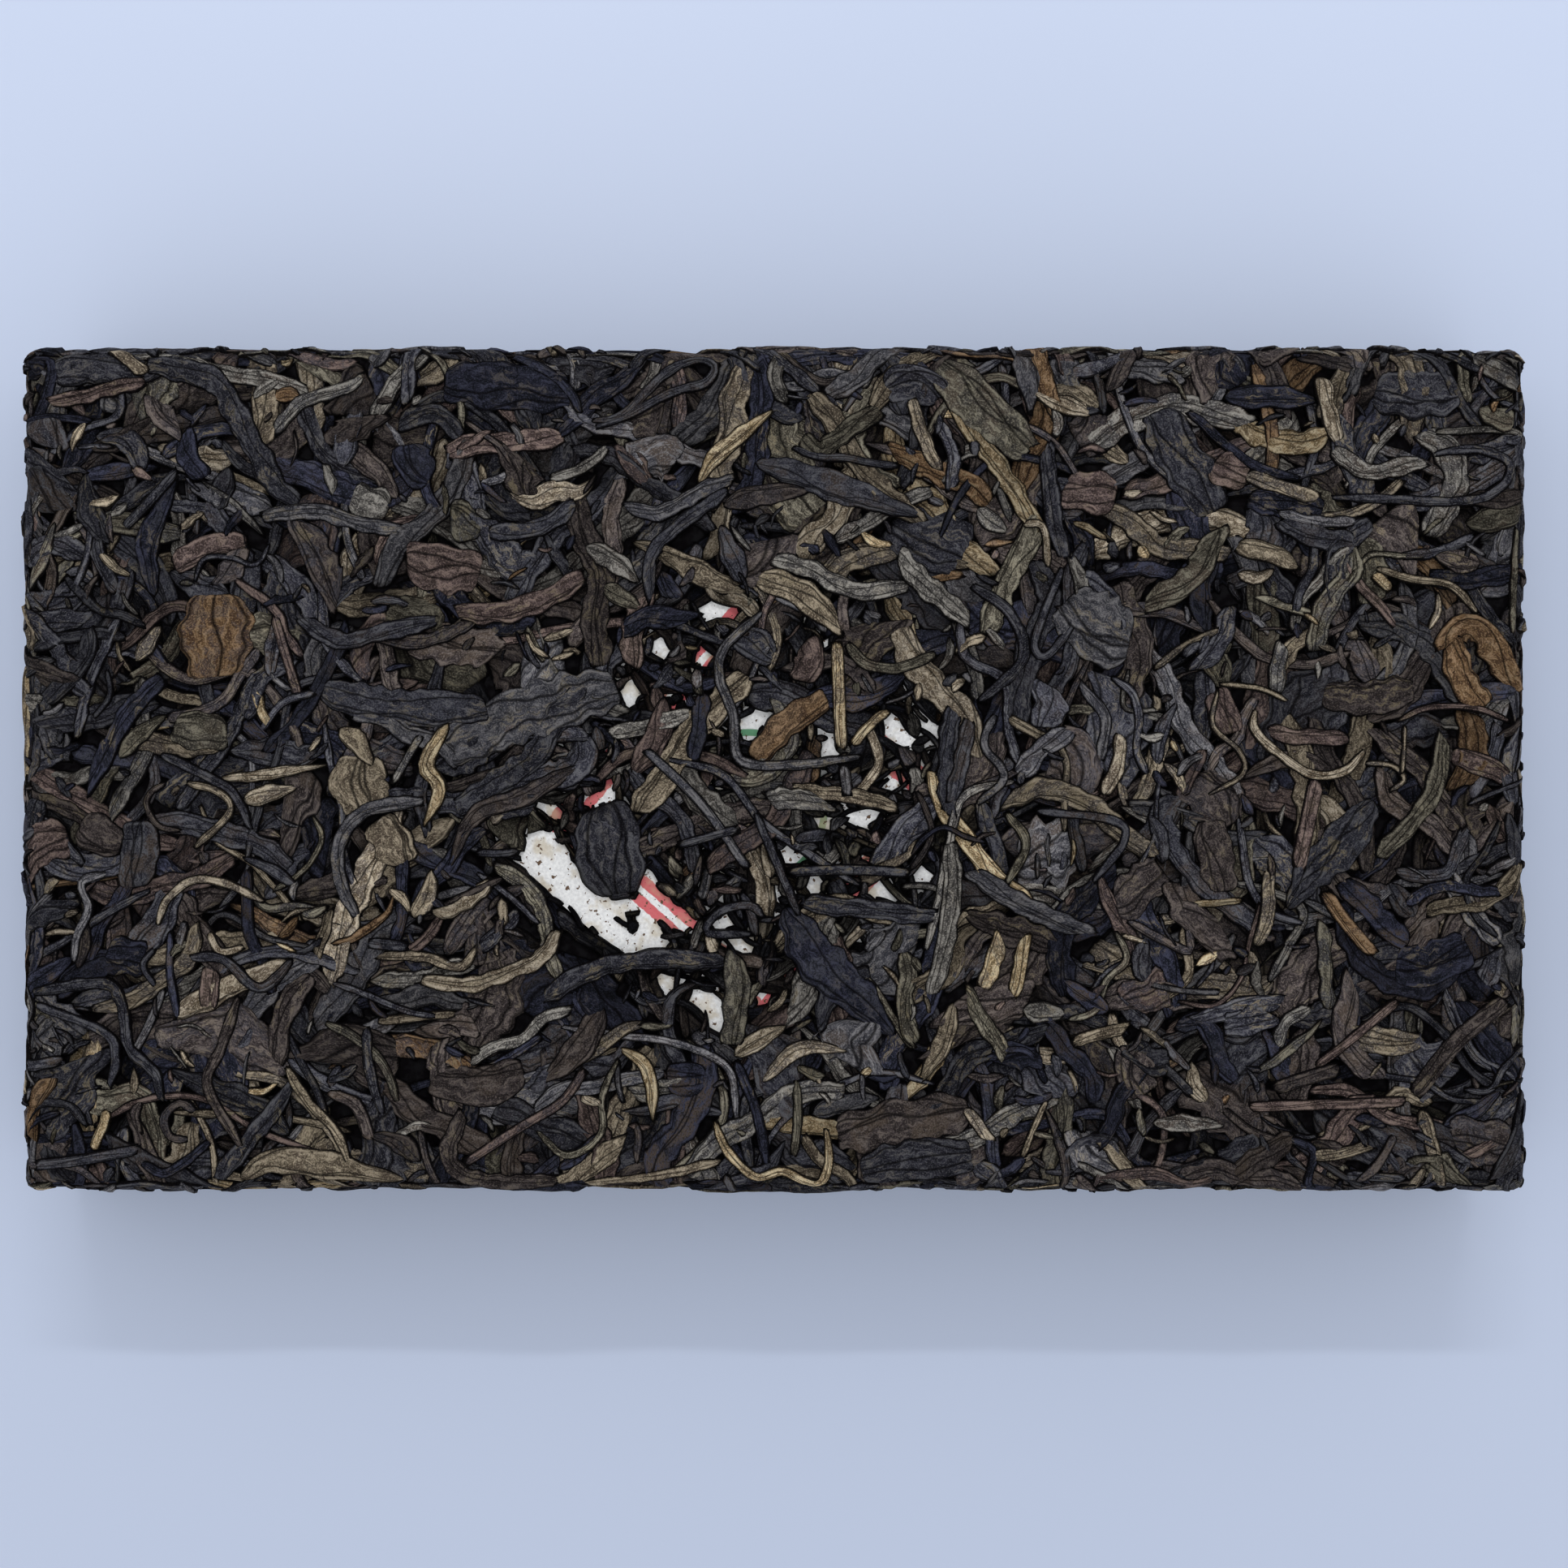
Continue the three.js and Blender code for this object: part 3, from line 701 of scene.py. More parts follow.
# The leaves of the top that can be told apart in the photograph, the lowest first.
# Each has a name, its form, its tone, its width in pixels and the pixels that it runs through.
SEEN_LEAVES = [
    ("brown plate, low edge", "flake", "umber", 60, (1030, 1400), (1110, 1385), (1195, 1370)),
    ("dark plate, low edge", "flake", "dark", 55, (1060, 1445), (1130, 1430), (1200, 1425)),
    ("mauve patch", "flake", "grey", 48, (430, 610), (455, 620), (478, 628)),
    ("brown triangle", "flake", "wine", 62, (498, 690), (540, 700), (592, 705)),
    ("large blue-black leaf", "flake", "ink", 62, (545, 470), (620, 475), (703, 480)),
    ("red-brown flat leaf", "flake", "wine", 58, (1310, 600), (1345, 605), (1378, 612)),
    ("dark plate, top edge", "flake", "dark", 50, (1090, 480), (1130, 470), (1160, 490)),
    ("dark triangle", "flake", "dark", 62, (1425, 505), (1455, 560), (1500, 630)),
    ("red-brown chip", "flake", "wine", 48, (1495, 570), (1520, 580), (1542, 588)),
    ("folded brown leaf", "flake", "dark", 62, (1695, 480), (1745, 485), (1800, 480)),
    ("dark flat, left", "flake", "dark", 50, (170, 1010), (170, 1050), (165, 1095)),
    ("red-brown flat, left", "flake", "umber", 50, (95, 1015), (120, 1030), (150, 1040)),
    ("blue-black patch, left", "flake", "ink", 52, (128, 1175), (155, 1180), (180, 1185)),
    ("red-brown leaf, low left", "flake", "wine", 28, (258, 1192), (257, 1215), (256, 1245)),
    ("blue-grey flat leaf", "flake", "slate", 85, (1312, 740), (1350, 770), (1395, 790)),
    ("brown bar under loops", "flake", "umber", 45, (1630, 855), (1680, 860), (1745, 850)),
    ("red-brown bar, right", "flake", "wine", 42, (1497, 850), (1510, 880), (1520, 905)),
    ("brown flat, right", "flake", "umber", 48, (1490, 1010), (1500, 1060), (1510, 1100)),
    ("folded blue-black leaf", "flake", "ink", 58, (1720, 1190), (1760, 1190), (1812, 1165)),
    ("ink chip, upper left", "flake", "ink", 50, (500, 545), (510, 570), (530, 590)),
    ("ink chip, low middle", "flake", "ink", 45, (820, 1330), (845, 1330), (870, 1330)),
    ("dark patch by tendril", "flake", "dark", 42, (905, 780), (925, 790), (955, 810)),
    ("wine patch, middle", "flake", "wine", 40, (990, 790), (1000, 810), (985, 840)),
    ("wide grey-brown leaf", "flake", "umber", 52, (530, 1330), (590, 1340), (645, 1320)),
    ("large purple-grey leaf", "flake", "slate", 70, (546, 925), (640, 880), (760, 845)),
    ("dark leaf left of it", "flake", "dark", 48, (395, 850), (480, 870), (600, 872)),
    ("corner flat leaf", "flake", "dark", 52, (65, 458), (110, 448), (178, 455)),
    ("right edge chip", "flake", "wine", 30, (1790, 930), (1835, 945), (1860, 960)),
    ("khaki leaf, left middle", "flake", "khaki", 72, (445, 930), (440, 965), (455, 1000)),
    ("khaki leaf under it", "flake", "khaki", 52, (460, 1010), (480, 1035), (498, 1065)),
    ("round orange-brown leaf", "flake", "rust", 92, (262, 730), (265, 780), (262, 836)),
    ("orange-brown middle leaf", "flake", "rust", 38, (928, 936), (968, 893), (1020, 858)),
    ("wide olive leaf", "flake", "olive", 58, (1155, 450), (1210, 500), (1268, 558)),
    ("olive crumpled leaf", "flake", "olive", 50, (210, 895), (245, 900), (280, 905)),
    ("golden blade", "blade", "gold", 24, (860, 597), (885, 558), (954, 503)),
    ("long dark blade", "blade", "dark", 40, (930, 568), (1012, 592), (1079, 617), (1138, 634)),
    ("brown blade", "blade", "umber", 30, (890, 622), (945, 608), (998, 604)),
    ("ink blade, left", "blade", "ink", 30, (188, 735), (180, 672), (198, 623), (217, 585)),
    ("dark red-brown blade", "blade", "umber", 38, (742, 1240), (715, 1290), (668, 1335)),
    ("purple-black leaf", "blade", "ink", 60, (966, 1118), (1005, 1180), (1055, 1228), (1102, 1278)),
    ("big dark strap, right", "blade", "dark", 55, (1695, 985), (1655, 1040), (1615, 1080), (1588, 1122)),
    ("brown strap on ticket", "blade", "umber", 27, (711, 944), (641, 983), (584, 1005), (552, 1072)),
    ("ink blade, top", "blade", "ink", 34, (1509, 488), (1570, 488), (1627, 492)),
    ("wrinkled leaf, low edge", "blade", "khaki", 38, (293, 1455), (330, 1432), (383, 1434), (500, 1455)),
    ("yellow-olive blade", "blade", "olive", 24, (143, 935), (170, 905), (204, 880)),
    ("pointed khaki blade", "blade", "khaki", 22, (163, 815), (180, 795), (196, 768)),
    ("orange-brown chip, top", "blade", "rust", 24, (335, 490), (350, 485), (370, 488)),
    ("tan blade, left", "blade", "tan", 17, (265, 960), (319, 955), (405, 942)),
    ("tan blade under it", "blade", "tan", 25, (295, 988), (330, 978), (366, 970)),
    ("pale blade, low", "blade", "tan", 26, (903, 1303), (935, 1282), (970, 1264)),
    ("tan blade, low", "blade", "tan", 22, (938, 1335), (985, 1293), (1047, 1296)),
    ("khaki tail", "blade", "khaki", 26, (1176, 1235), (1160, 1290), (1133, 1336)),
    ("gold blade, low middle", "blade", "gold", 20, (762, 1291), (798, 1320), (804, 1387)),
    ("wavy gold leaf", "blade", "gold", 23, (553, 890), (524, 941), (541, 973), (520, 1021)),
    ("pale ribbed leaf", "blade", "grey", 30, (720, 672), (755, 690), (788, 718)),
    ("olive ribbed leaf", "blade", "olive", 26, (742, 720), (765, 735), (790, 750)),
    ("khaki corner leaf", "blade", "khaki", 28, (415, 897), (440, 915), (459, 945)),
    ("pale chip", "crumb", "tan", 14, (1384, 609), (1410, 605)),
    ("grey blob", "blade", "grey", 26, (1204, 625), (1220, 640), (1243, 656)),
    ("tan leaf, right", "blade", "tan", 20, (1525, 705), (1550, 712), (1572, 700)),
    ("grey squares", "blade", "grey", 24, (1420, 1385), (1465, 1385), (1512, 1388)),
    ("grey leaf, low right", "blade", "grey", 30, (1260, 1245), (1290, 1248), (1315, 1250)),
    ("long corner strap", "strap", "dark", 32, (178, 448), (255, 464), (287, 505), (335, 591), (367, 620)),
    ("its brown end", "strap", "umber", 40, (367, 640), (395, 690), (415, 742)),
    ("khaki strap, top edge", "strap", "khaki", 20, (137, 422), (155, 440), (178, 460)),
    ("red-brown folded stem", "strap", "wine", 20, (57, 496), (110, 485), (178, 468)),
    ("grey strip, top", "strap", "grey", 19, (335, 531), (376, 492), (430, 476), (448, 463)),
    ("slate strip", "strap", "slate", 22, (319, 636), (383, 630), (446, 645), (497, 652)),
    ("dark strap, left", "strap", "ink", 26, (198, 833), (153, 884), (128, 929), (105, 967)),
    ("heart, right lobe", "strap", "rust", 38, (1785, 800), (1800, 775), (1830, 780), (1868, 850)),
    ("heart, left lobe", "strap", "rust", 38, (1788, 790), (1805, 840), (1833, 872)),
    ("wrinkled slate strip", "strap", "slate", 22, (769, 626), (817, 630), (865, 604), (905, 590)),
    ("dark curve", "strap", "dark", 19, (804, 735), (801, 687), (833, 649), (898, 603)),
    ("upright dark strap", "strap", "dark", 24, (1289, 547), (1297, 620), (1311, 688)),
    ("khaki strap, top right", "strap", "khaki", 19, (1123, 489), (1137, 535), (1156, 580)),
    ("pale strap, middle", "strap", "grey", 25, (951, 687), (1000, 702), (1053, 727), (1122, 722)),
    ("pale strap under it", "strap", "khaki", 35, (932, 712), (985, 728), (1036, 770)),
    ("grey strap, middle", "strap", "grey", 30, (1107, 681), (1139, 719), (1197, 765)),
    ("tan bent strap", "strap", "tan", 22, (1631, 461), (1638, 502), (1651, 545)),
    ("its other arm", "strap", "grey", 24, (1642, 552), (1688, 580), (1760, 566)),
    ("khaki strap, right", "strap", "khaki", 20, (1536, 583), (1580, 600), (1627, 614)),
    ("khaki strap, right middle", "strap", "khaki", 26, (1525, 670), (1560, 680), (1600, 690)),
    ("dark strap under ticket", "strap", "dark", 26, (667, 1230), (720, 1200), (790, 1184), (896, 1182)),
    ("upright olive strap", "strap", "olive", 34, (907, 1175), (908, 1230), (900, 1290)),
    ("dark bundle", "strap", "dark", 26, (1176, 872), (1168, 930), (1169, 1005)),
    ("dark bundle, right side", "strap", "dark", 22, (1195, 885), (1185, 940), (1172, 990)),
    ("slate arch", "strap", "slate", 16, (1330, 842), (1362, 884), (1356, 938)),
    ("tan strip, right", "strap", "tan", 20, (1382, 903), (1378, 945), (1360, 980)),
    ("slate diagonal", "strap", "slate", 28, (1197, 1072), (1251, 1110), (1340, 1152)),
    ("grey upright", "strap", "grey", 26, (1171, 1037), (1174, 1100), (1165, 1164), (1149, 1228)),
    ("dark strap on ticket", "strap", "dark", 26, (989, 1112), (1060, 1120), (1155, 1130)),
    ("brown strap, low left", "strap", "umber", 30, (383, 1202), (351, 1243), (338, 1310)),
    ("dark strap, low left", "strap", "dark", 25, (360, 1342), (310, 1400), (265, 1457)),
    ("red-brown hook", "strap", "umber", 24, (571, 1371), (552, 1419), (570, 1448), (620, 1459), (688, 1456)),
    ("khaki strap, low edge", "strap", "khaki", 15, (715, 1463), (801, 1451), (890, 1432)),
    (
        "tan curl, low left", "strap", "tan", 22,
        (517, 1207), (578, 1214), (625, 1199), (667, 1180), (686, 1145),
    ),
    ("khaki curl over it", "strap", "khaki", 15, (463, 1177), (520, 1180), (565, 1192), (587, 1170)),
    ("olive upright, right", "strap", "olive", 20, (1631, 1134), (1635, 1190), (1638, 1246)),
    ("olive strap, right", "strap", "olive", 26, (1783, 905), (1762, 985), (1700, 1058)),
    ("brown bar, right", "strap", "wine", 22, (1563, 903), (1610, 908), (1665, 909)),
    ("pale leaf, right", "strap", "grey", 22, (1583, 791), (1575, 820), (1573, 855)),
    ("olive strap, upper right", "strap", "olive", 34, (1500, 650), (1470, 710), (1410, 745)),
    ("fan, left fold", "strap", "gold", 24, (1235, 1153), (1225, 1185), (1212, 1220)),
    ("fan, right fold", "strap", "gold", 20, (1262, 1153), (1258, 1190), (1248, 1228)),
    ("tan strap, low edge", "strap", "tan", 17, (1190, 1365), (1205, 1385), (1222, 1408)),
    ("khaki strap by ticket", "strap", "khaki", 21, (975, 972), (1050, 981), (1108, 994)),
    ("grey strap by ticket", "strap", "grey", 30, (945, 985), (985, 985), (1020, 988)),
    ("brown strap, left middle", "strap", "umber", 20, (450, 780), (520, 790), (600, 755)),
    ("dark strap over it", "strap", "dark", 24, (370, 760), (420, 790), (470, 778), (540, 765)),
    ("dark strap, upper left", "strap", "dark", 24, (600, 655), (660, 650), (710, 620)),
    ("brown strap by ribbed leaf", "strap", "wine", 30, (560, 755), (640, 750), (720, 710)),
    ("ink strap by ribbed leaf", "strap", "ink", 30, (765, 775), (800, 760), (850, 765)),
    ("round leaf on ticket", "flake", "dark", 84, (739, 992), (748, 1045), (763, 1104)),
    ("bent stem, top", "tendril", "ink", 14, (629, 435), (673, 457), (700, 480), (716, 510)),
    (
        "hairpin", "tendril", "dark", 14,
        (727, 518), (769, 509), (817, 461), (858, 441), (880, 450), (868, 470), (826, 483), (769, 513),
        (731, 526),
    ),
    ("strap's tail", "tendril", "dark", 13, (1311, 697), (1287, 755), (1275, 795), (1290, 808), (1324, 769)),
    ("tan hook", "tendril", "tan", 12, (1260, 645), (1286, 649), (1292, 700)),
    ("dark tendril, top right", "tendril", "ink", 14, (1464, 505), (1542, 570), (1604, 590)),
    (
        "right loop", "tendril", "dark", 14,
        (1766, 559), (1824, 553), (1862, 572), (1850, 600), (1807, 617), (1705, 614), (1640, 612),
    ),
    ("khaki tendril, right", "tendril", "khaki", 12, (1695, 699), (1739, 712), (1790, 722), (1824, 756)),
    ("strip at the right edge", "tendril", "olive", 13, (1874, 648), (1868, 705), (1866, 783)),
    ("dark tendril, left", "tendril", "dark", 14, (195, 929), (255, 957), (287, 980), (309, 1024)),
    ("khaki hook, left", "tendril", "khaki", 12, (226, 964), (268, 976), (281, 1002), (236, 1047)),
    (
        "brown loop, left", "tendril", "umber", 10,
        (204, 964), (185, 975), (178, 992), (195, 1018), (223, 1024),
    ),
    (
        "long curved tendril", "tendril", "slate", 20,
        (523, 986), (450, 999), (418, 1037), (418, 1085), (440, 1132),
    ),
    ("tan arc", "tendril", "tan", 13, (191, 1142), (204, 1110), (236, 1085), (274, 1088), (325, 1112)),
    (
        "long middle tendril", "tendril", "slate", 15,
        (941, 753), (892, 798), (887, 839), (903, 878), (907, 929), (935, 943), (996, 941), (1063, 932),
    ),
    ("olive curve", "tendril", "olive", 16, (1043, 791), (1066, 817), (1107, 823), (1155, 804)),
    (
        "big dark curve", "tendril", "dark", 16,
        (1197, 719), (1240, 750), (1262, 791), (1252, 825), (1206, 865),
    ),
    ("slate wave", "tendril", "slate", 13, (1228, 878), (1213, 916), (1238, 957), (1203, 992)),
    ("dark hook, right", "tendril", "dark", 13, (1276, 999), (1372, 1011), (1386, 1037), (1346, 1088)),
    ("dark loop", "tendril", "dark", 13, (941, 1132), (922, 1116), (885, 1125), (872, 1150), (928, 1151)),
    (
        "gold wave, low edge", "tendril", "gold", 14,
        (880, 1381), (896, 1419), (932, 1451), (964, 1444), (1005, 1463), (1021, 1435), (1018, 1390),
    ),
    ("dark tendril, low edge", "tendril", "ink", 15, (906, 1307), (932, 1371), (945, 1438)),
    ("brown tendril, low edge", "tendril", "umber", 14, (1722, 1399), (1700, 1435), (1671, 1460)),
    ("pale wave", "tendril", "khaki", 9, (1502, 848), (1495, 893), (1529, 926), (1532, 954), (1487, 981)),
    ("pale curl over it", "tendril", "khaki", 9, (1502, 842), (1553, 848), (1590, 865)),
    (
        "pale bow", "tendril", "tan", 14,
        (1549, 872), (1546, 896), (1570, 923), (1617, 954), (1658, 950), (1685, 923),
    ),
    ("tendril with a knob", "tendril", "wine", 10, (1722, 889), (1760, 872), (1817, 872), (1865, 889)),
    ("pale hook", "tendril", "khaki", 9, (1682, 940), (1716, 943), (1733, 960), (1712, 976)),
    ("pale upright", "tendril", "khaki", 8, (1733, 892), (1731, 925), (1729, 956)),
    (
        "long tendril, left edge", "tendril", "dark", 17,
        (35, 1224), (121, 1212), (147, 1234), (156, 1291), (188, 1323), (198, 1361),
    ),
    ("dark tendril under it", "tendril", "dark", 14, (38, 1237), (124, 1272), (140, 1304), (131, 1342)),
    ("brown curve, low left", "tendril", "umber", 16, (293, 1228), (271, 1291), (255, 1339), (297, 1416)),
    ("khaki taper", "tendril", "khaki", 14, (351, 1314), (376, 1355), (411, 1393), (430, 1435)),
    ("dark bow, low edge", "tendril", "ink", 14, (172, 1432), (198, 1446), (223, 1435), (258, 1406)),
    ("brown curl", "tendril", "umber", 13, (240, 1372), (220, 1360), (200, 1378), (208, 1402), (232, 1405)),
    ("tan arc, left", "tendril", "tan", 12, (255, 1148), (271, 1173), (300, 1167)),
    ("gold bit, low left", "tendril", "gold", 15, (131, 1368), (122, 1395), (112, 1419)),
    ("dark hook, left", "tendril", "dark", 10, (190, 1168), (175, 1190), (191, 1218)),
    ("dark wave, left", "tendril", "dark", 15, (230, 1180), (274, 1183), (319, 1218), (360, 1183)),
    ("olive strand, low left", "tendril", "olive", 14, (398, 1260), (430, 1275), (470, 1310), (490, 1360)),
    ("dark strand beside it", "tendril", "dark", 15, (450, 1265), (455, 1320), (470, 1375)),
    ("olive bow, middle", "tendril", "olive", 14, (1240, 1000), (1265, 1040), (1240, 1090)),
    ("dark strand on ticket", "tendril", "dark", 13, (930, 1000), (960, 1070), (985, 1130)),
    ("gold tip", "tendril", "gold", 15, (1050, 919), (1072, 893), (1095, 873)),
    ("dark stem, left", "stem", "dark", 15, (150, 652), (185, 615), (217, 578)),
    ("straight stem on ticket", "stem", "slate", 14, (794, 922), (865, 992), (922, 1072)),
    ("pale upright stem", "stem", "gold", 18, (1031, 788), (1034, 860), (1037, 925)),
    ("its dark end", "stem", "slate", 16, (1040, 941), (1042, 960), (1045, 982)),
    ("dark stem on ticket", "stem", "dark", 15, (970, 1075), (1045, 1072), (1123, 1076)),
    ("dark bar on ticket", "stem", "dark", 13, (833, 1043), (870, 1032), (912, 1021)),
    ("stem with a node", "stem", "wine", 14, (571, 1435), (640, 1390), (692, 1358), (721, 1317)),
    ("long straight stem", "stem", "wine", 16, (1539, 1365), (1640, 1362), (1736, 1358)),
    ("stem over it", "stem", "wine", 14, (1621, 1317), (1680, 1270), (1726, 1232)),
    ("thick purple stem", "stem", "umber", 20, (1570, 1344), (1610, 1330), (1655, 1317)),
    ("orange-brown stem", "stem", "rust", 20, (1634, 1098), (1655, 1132), (1695, 1178)),
    ("wide stem, right edge", "stem", "umber", 24, (1858, 1232), (1795, 1285), (1743, 1351)),
    ("light brown block", "stem", "khaki", 18, (1321, 1285), (1355, 1275), (1394, 1266)),
    ("purple-brown stem", "stem", "wine", 22, (1624, 960), (1612, 1015), (1600, 1072)),
    ("grey stem, middle left", "stem", "grey", 12, (520, 903), (500, 935), (482, 967)),
    ("gold stub", "stem", "gold", 16, (1693, 705), (1705, 716), (1718, 727)),
    ("dark stem, low corner", "stem", "dark", 16, (38, 1437), (100, 1430), (172, 1416)),
    ("dark stub, left", "stem", "dark", 16, (450, 1162), (480, 1165), (503, 1167)),
    ("dark stub by ticket", "stem", "dark", 12, (583, 1050), (610, 1052), (640, 1050)),
]

# How far leaves may reach into an opening over the ticket, and half the width that is always left of it
WINDOW_MARGIN = 0.4
WINDOW_LEAST = 0.25

# Where the bare ticket shows through: the width in pixels and the pixels that each opening runs through
TICKET_WINDOWS = {
    "left corner": (44, (668, 1050), (705, 1090)),
    "edge of the sheet": (24, (654, 1066), (735, 1136)),
    "left corner, tail": (30, (705, 1092), (742, 1124)),
    "left corner, tip": (14, (742, 1122), (780, 1115)),
    "below the round leaf": (26, (752, 1145), (776, 1165), (808, 1166)),
    "by the round leaf": (14, (796, 1080), (795, 1118)),
    "red stripes": (28, (797, 1108), (838, 1134)),
    "red stripes, low": (20, (795, 1122), (802, 1150)),
    "low left": (22, (860, 1230), (880, 1238), (882, 1262)),
    "low left sliver": (13, (903, 1160), (918, 1168)),
    "low middle": (13, (817, 1210), (827, 1212)),
    "low middle dot": (6, (940, 1230), (945, 1231)),
    "loop": (9, (886, 1144), (894, 1137)),
    "top corner": (15, (866, 750), (902, 754)),
    "top corner dot": (6, (862, 809), (866, 809)),
    "upper left dot": (8, (809, 802), (817, 799)),
    "upper left sliver": (7, (776, 848), (776, 861)),
    "left edge": (11, (670, 996), (683, 1003)),
    "left edge, inner": (8, (724, 986), (738, 983)),
    "red bit, left": (9, (749, 968), (749, 987)),
    "top middle": (14, (923, 889), (921, 906)),
    "top middle dot": (8, (939, 884), (943, 884)),
    "top right dot": (9, (1020, 920), (1021, 927)),
    "top right": (14, (1100, 885), (1099, 905), (1118, 908)),
    "top right edge": (7, (1146, 895), (1155, 901)),
    "red bit, right": (14, (1103, 957), (1101, 970)),
    "right middle": (11, (1056, 1003), (1063, 1015), (1075, 1005)),
    "middle": (16, (970, 1055), (982, 1058)),
    "middle, lower": (19, (1003, 1084), (1003, 1097)),
    "red bit, low right": (8, (1081, 1096), (1091, 1101)),
    "right sliver": (6, (1136, 1075), (1138, 1080)),
    "spot": (7, (1014, 1014), (1020, 1014)),
}


def to_top(pixel):
    """The place on the top, in millimetres, that the photograph shows at a pixel."""
    return (
        (pixel[0] - MIDDLE_PIXEL[0]) * MM_PER_PIXEL,
        (MIDDLE_PIXEL[1] - pixel[1]) * MM_PER_PIXEL,
    )


# How often each tone comes among the leaves that are strewn, and which forms they have in the lower layers
# and at the top: the share of all leaves, the least and greatest length, and the least and greatest width
TONE_SHARES = {
    "dark": 0.27,
    "ink": 0.12,
    "slate": 0.09,
    "grey": 0.09,
    "umber": 0.145,
    "wine": 0.06,
    "rust": 0.02,
    "gold": 0.02,
    "khaki": 0.085,
    "olive": 0.07,
    "tan": 0.03,
}
PALE_TONES = ("grey", "rust", "gold", "khaki", "tan")
LOWER_FORMS = {
    "strap": (0.34, 7, 18, 1.6, 3.4),
    "blade": (0.18, 7, 15, 1.6, 3.6),
    "plate": (0.30, 5, 11, 3.2, 7.0),
    "tendril": (0.12, 8, 22, 0.9, 1.5),
    "stem": (0.06, 5, 14, 1.0, 1.6),
}
UPPER_FORMS = {
    "strap": (0.40, 7, 19, 1.3, 3.2),
    "blade": (0.19, 6, 15, 1.3, 3.4),
    "plate": (0.14, 4, 9, 3.0, 6.5),
    "tendril": (0.21, 8, 24, 0.8, 1.4),
    "stem": (0.06, 6, 14, 0.9, 1.5),
}
SPOTS_TRIED = 7
# How much brighter the leaves are in the middle of a face than along its rim
MIDDLE_LIGHT = 0.18


def bent_route(u, v, turn, length, bend):
    """Three to five points of a leaf that bends at random, its middle at the given spot."""
    count = 3 if length < 9 else 5
    turns = rng.normal(0, bend, count).cumsum()
    turns += turn - turns[count // 2]
    steps = np.column_stack([np.cos(turns), np.sin(turns)]) * length / (count - 1)
    route = np.vstack([[0, 0], steps[1:]]).cumsum(axis=0)
    return route - route[count // 2] + (u, v)


def anywhere(face, _):
    """A random spot of a face, round its edges too."""
    return rng.uniform(-1, 1, 2) * face.spread


def over_ticket(face, closed):
    """A random spot over the ticket, where it is still bare and needn't be."""
    spots = np.column_stack(ticket_place(*(rng.uniform(-0.58, 0.58, (2, 60)) * TICKET_SIDE)))
    level = np.where(closed[face.cells(*spots.T)], 0, face.ground(*spots.T))
    return spots[np.argmin(level)]


def pick_tone(from_end=1.0):
    """A tone at random, as often as it is in the photograph, where pale leaves are rarer near the ends."""
    tones, odds = zip(*TONE_SHARES.items())
    tone = tones[rng.choice(len(tones), p=odds)]
    pale_share = 0.3 + 0.7 * smooth_step(0, 0.4, from_end)
    return "dark" if tone in PALE_TONES and rng.random() > pale_share else tone


def middle_line(points):
    """Places close together along the straight lines between a leaf's points."""
    at = np.arange(len(points))
    fine = np.linspace(0, len(points) - 1, 8 * (len(points) - 1) + 1)
    return np.interp(fine, at, points[:, 0]), np.interp(fine, at, points[:, 1])


def footprint(points, width):
    """Places along the middle and both sides of a leaf."""
    route = Route(points)
    place, way = route.at(np.linspace(0, route.length, max(6, round(2 * route.length))))
    sides = np.array([[-0.55], [0], [0.55]]) * width
    return (place[0] - sides * way[1]).ravel(), (place[1] + sides * way[0]).ravel()


def strew(name, side, count, ceiling, forms, size=1.0, coarse=1.0, closed=None, spot=anywhere):
    """Strews leaves on a face, each in the lowest of the spots tried for it and clear of a closed area."""
    face = FACES[name]
    kinds = list(forms)
    kind_odds = [forms[kind][0] for kind in kinds]
    for _ in range(count):
        kind = kinds[rng.choice(len(kinds), p=kind_odds)]
        _, short, long, slim, wide = forms[kind]
        length = rng.uniform(short, long) * size
        width = rng.uniform(slim, wide) * min(1.0, 0.4 + 0.6 * size)
        best = None
        for _ in range(SPOTS_TRIED):
            turn = rng.normal(0, 0.3) if face.is_narrow else rng.uniform(0, math.pi)
            route = bent_route(*spot(face, closed), turn, length, 0.6 if kind == "tendril" else 0.35)
            route = np.clip(route, -face.spread - 0.9, face.spread + 0.9)
            if np.hypot(*np.diff(route, axis=0).T).min() < 0.1:
                continue
            cells = face.cells(*middle_line(route))
            start = face.start[cells]
            filled = ((face.pile[cells] - start) / np.maximum(ceiling - start, 0.2)).mean()
            if best is not None and filled >= best[0]:
                continue
            if closed is not None and closed[face.cells(*footprint(route, width))].any():
                continue
            best = (filled, route)
        if best is None:
            continue
        route = best[1]
        from_rim = 1 - np.abs(route.mean(axis=0)) / face.half
        tone = pick_tone(from_rim[0])
        if kind == "plate" and tone in PALE_TONES:
            tone = "umber"
        level = 1 + MIDDLE_LIGHT * smooth_step(0, 0.45, from_rim[0]) * smooth_step(0, 0.25, from_rim[1])
        light = (0.5 * level, (1.1 if tone in PALE_TONES or tone == "wine" else 1.5) * level)
        lay_leaf(face, f"{side}_{tone}", kind, route, width, ceiling, coarse, light, closed)


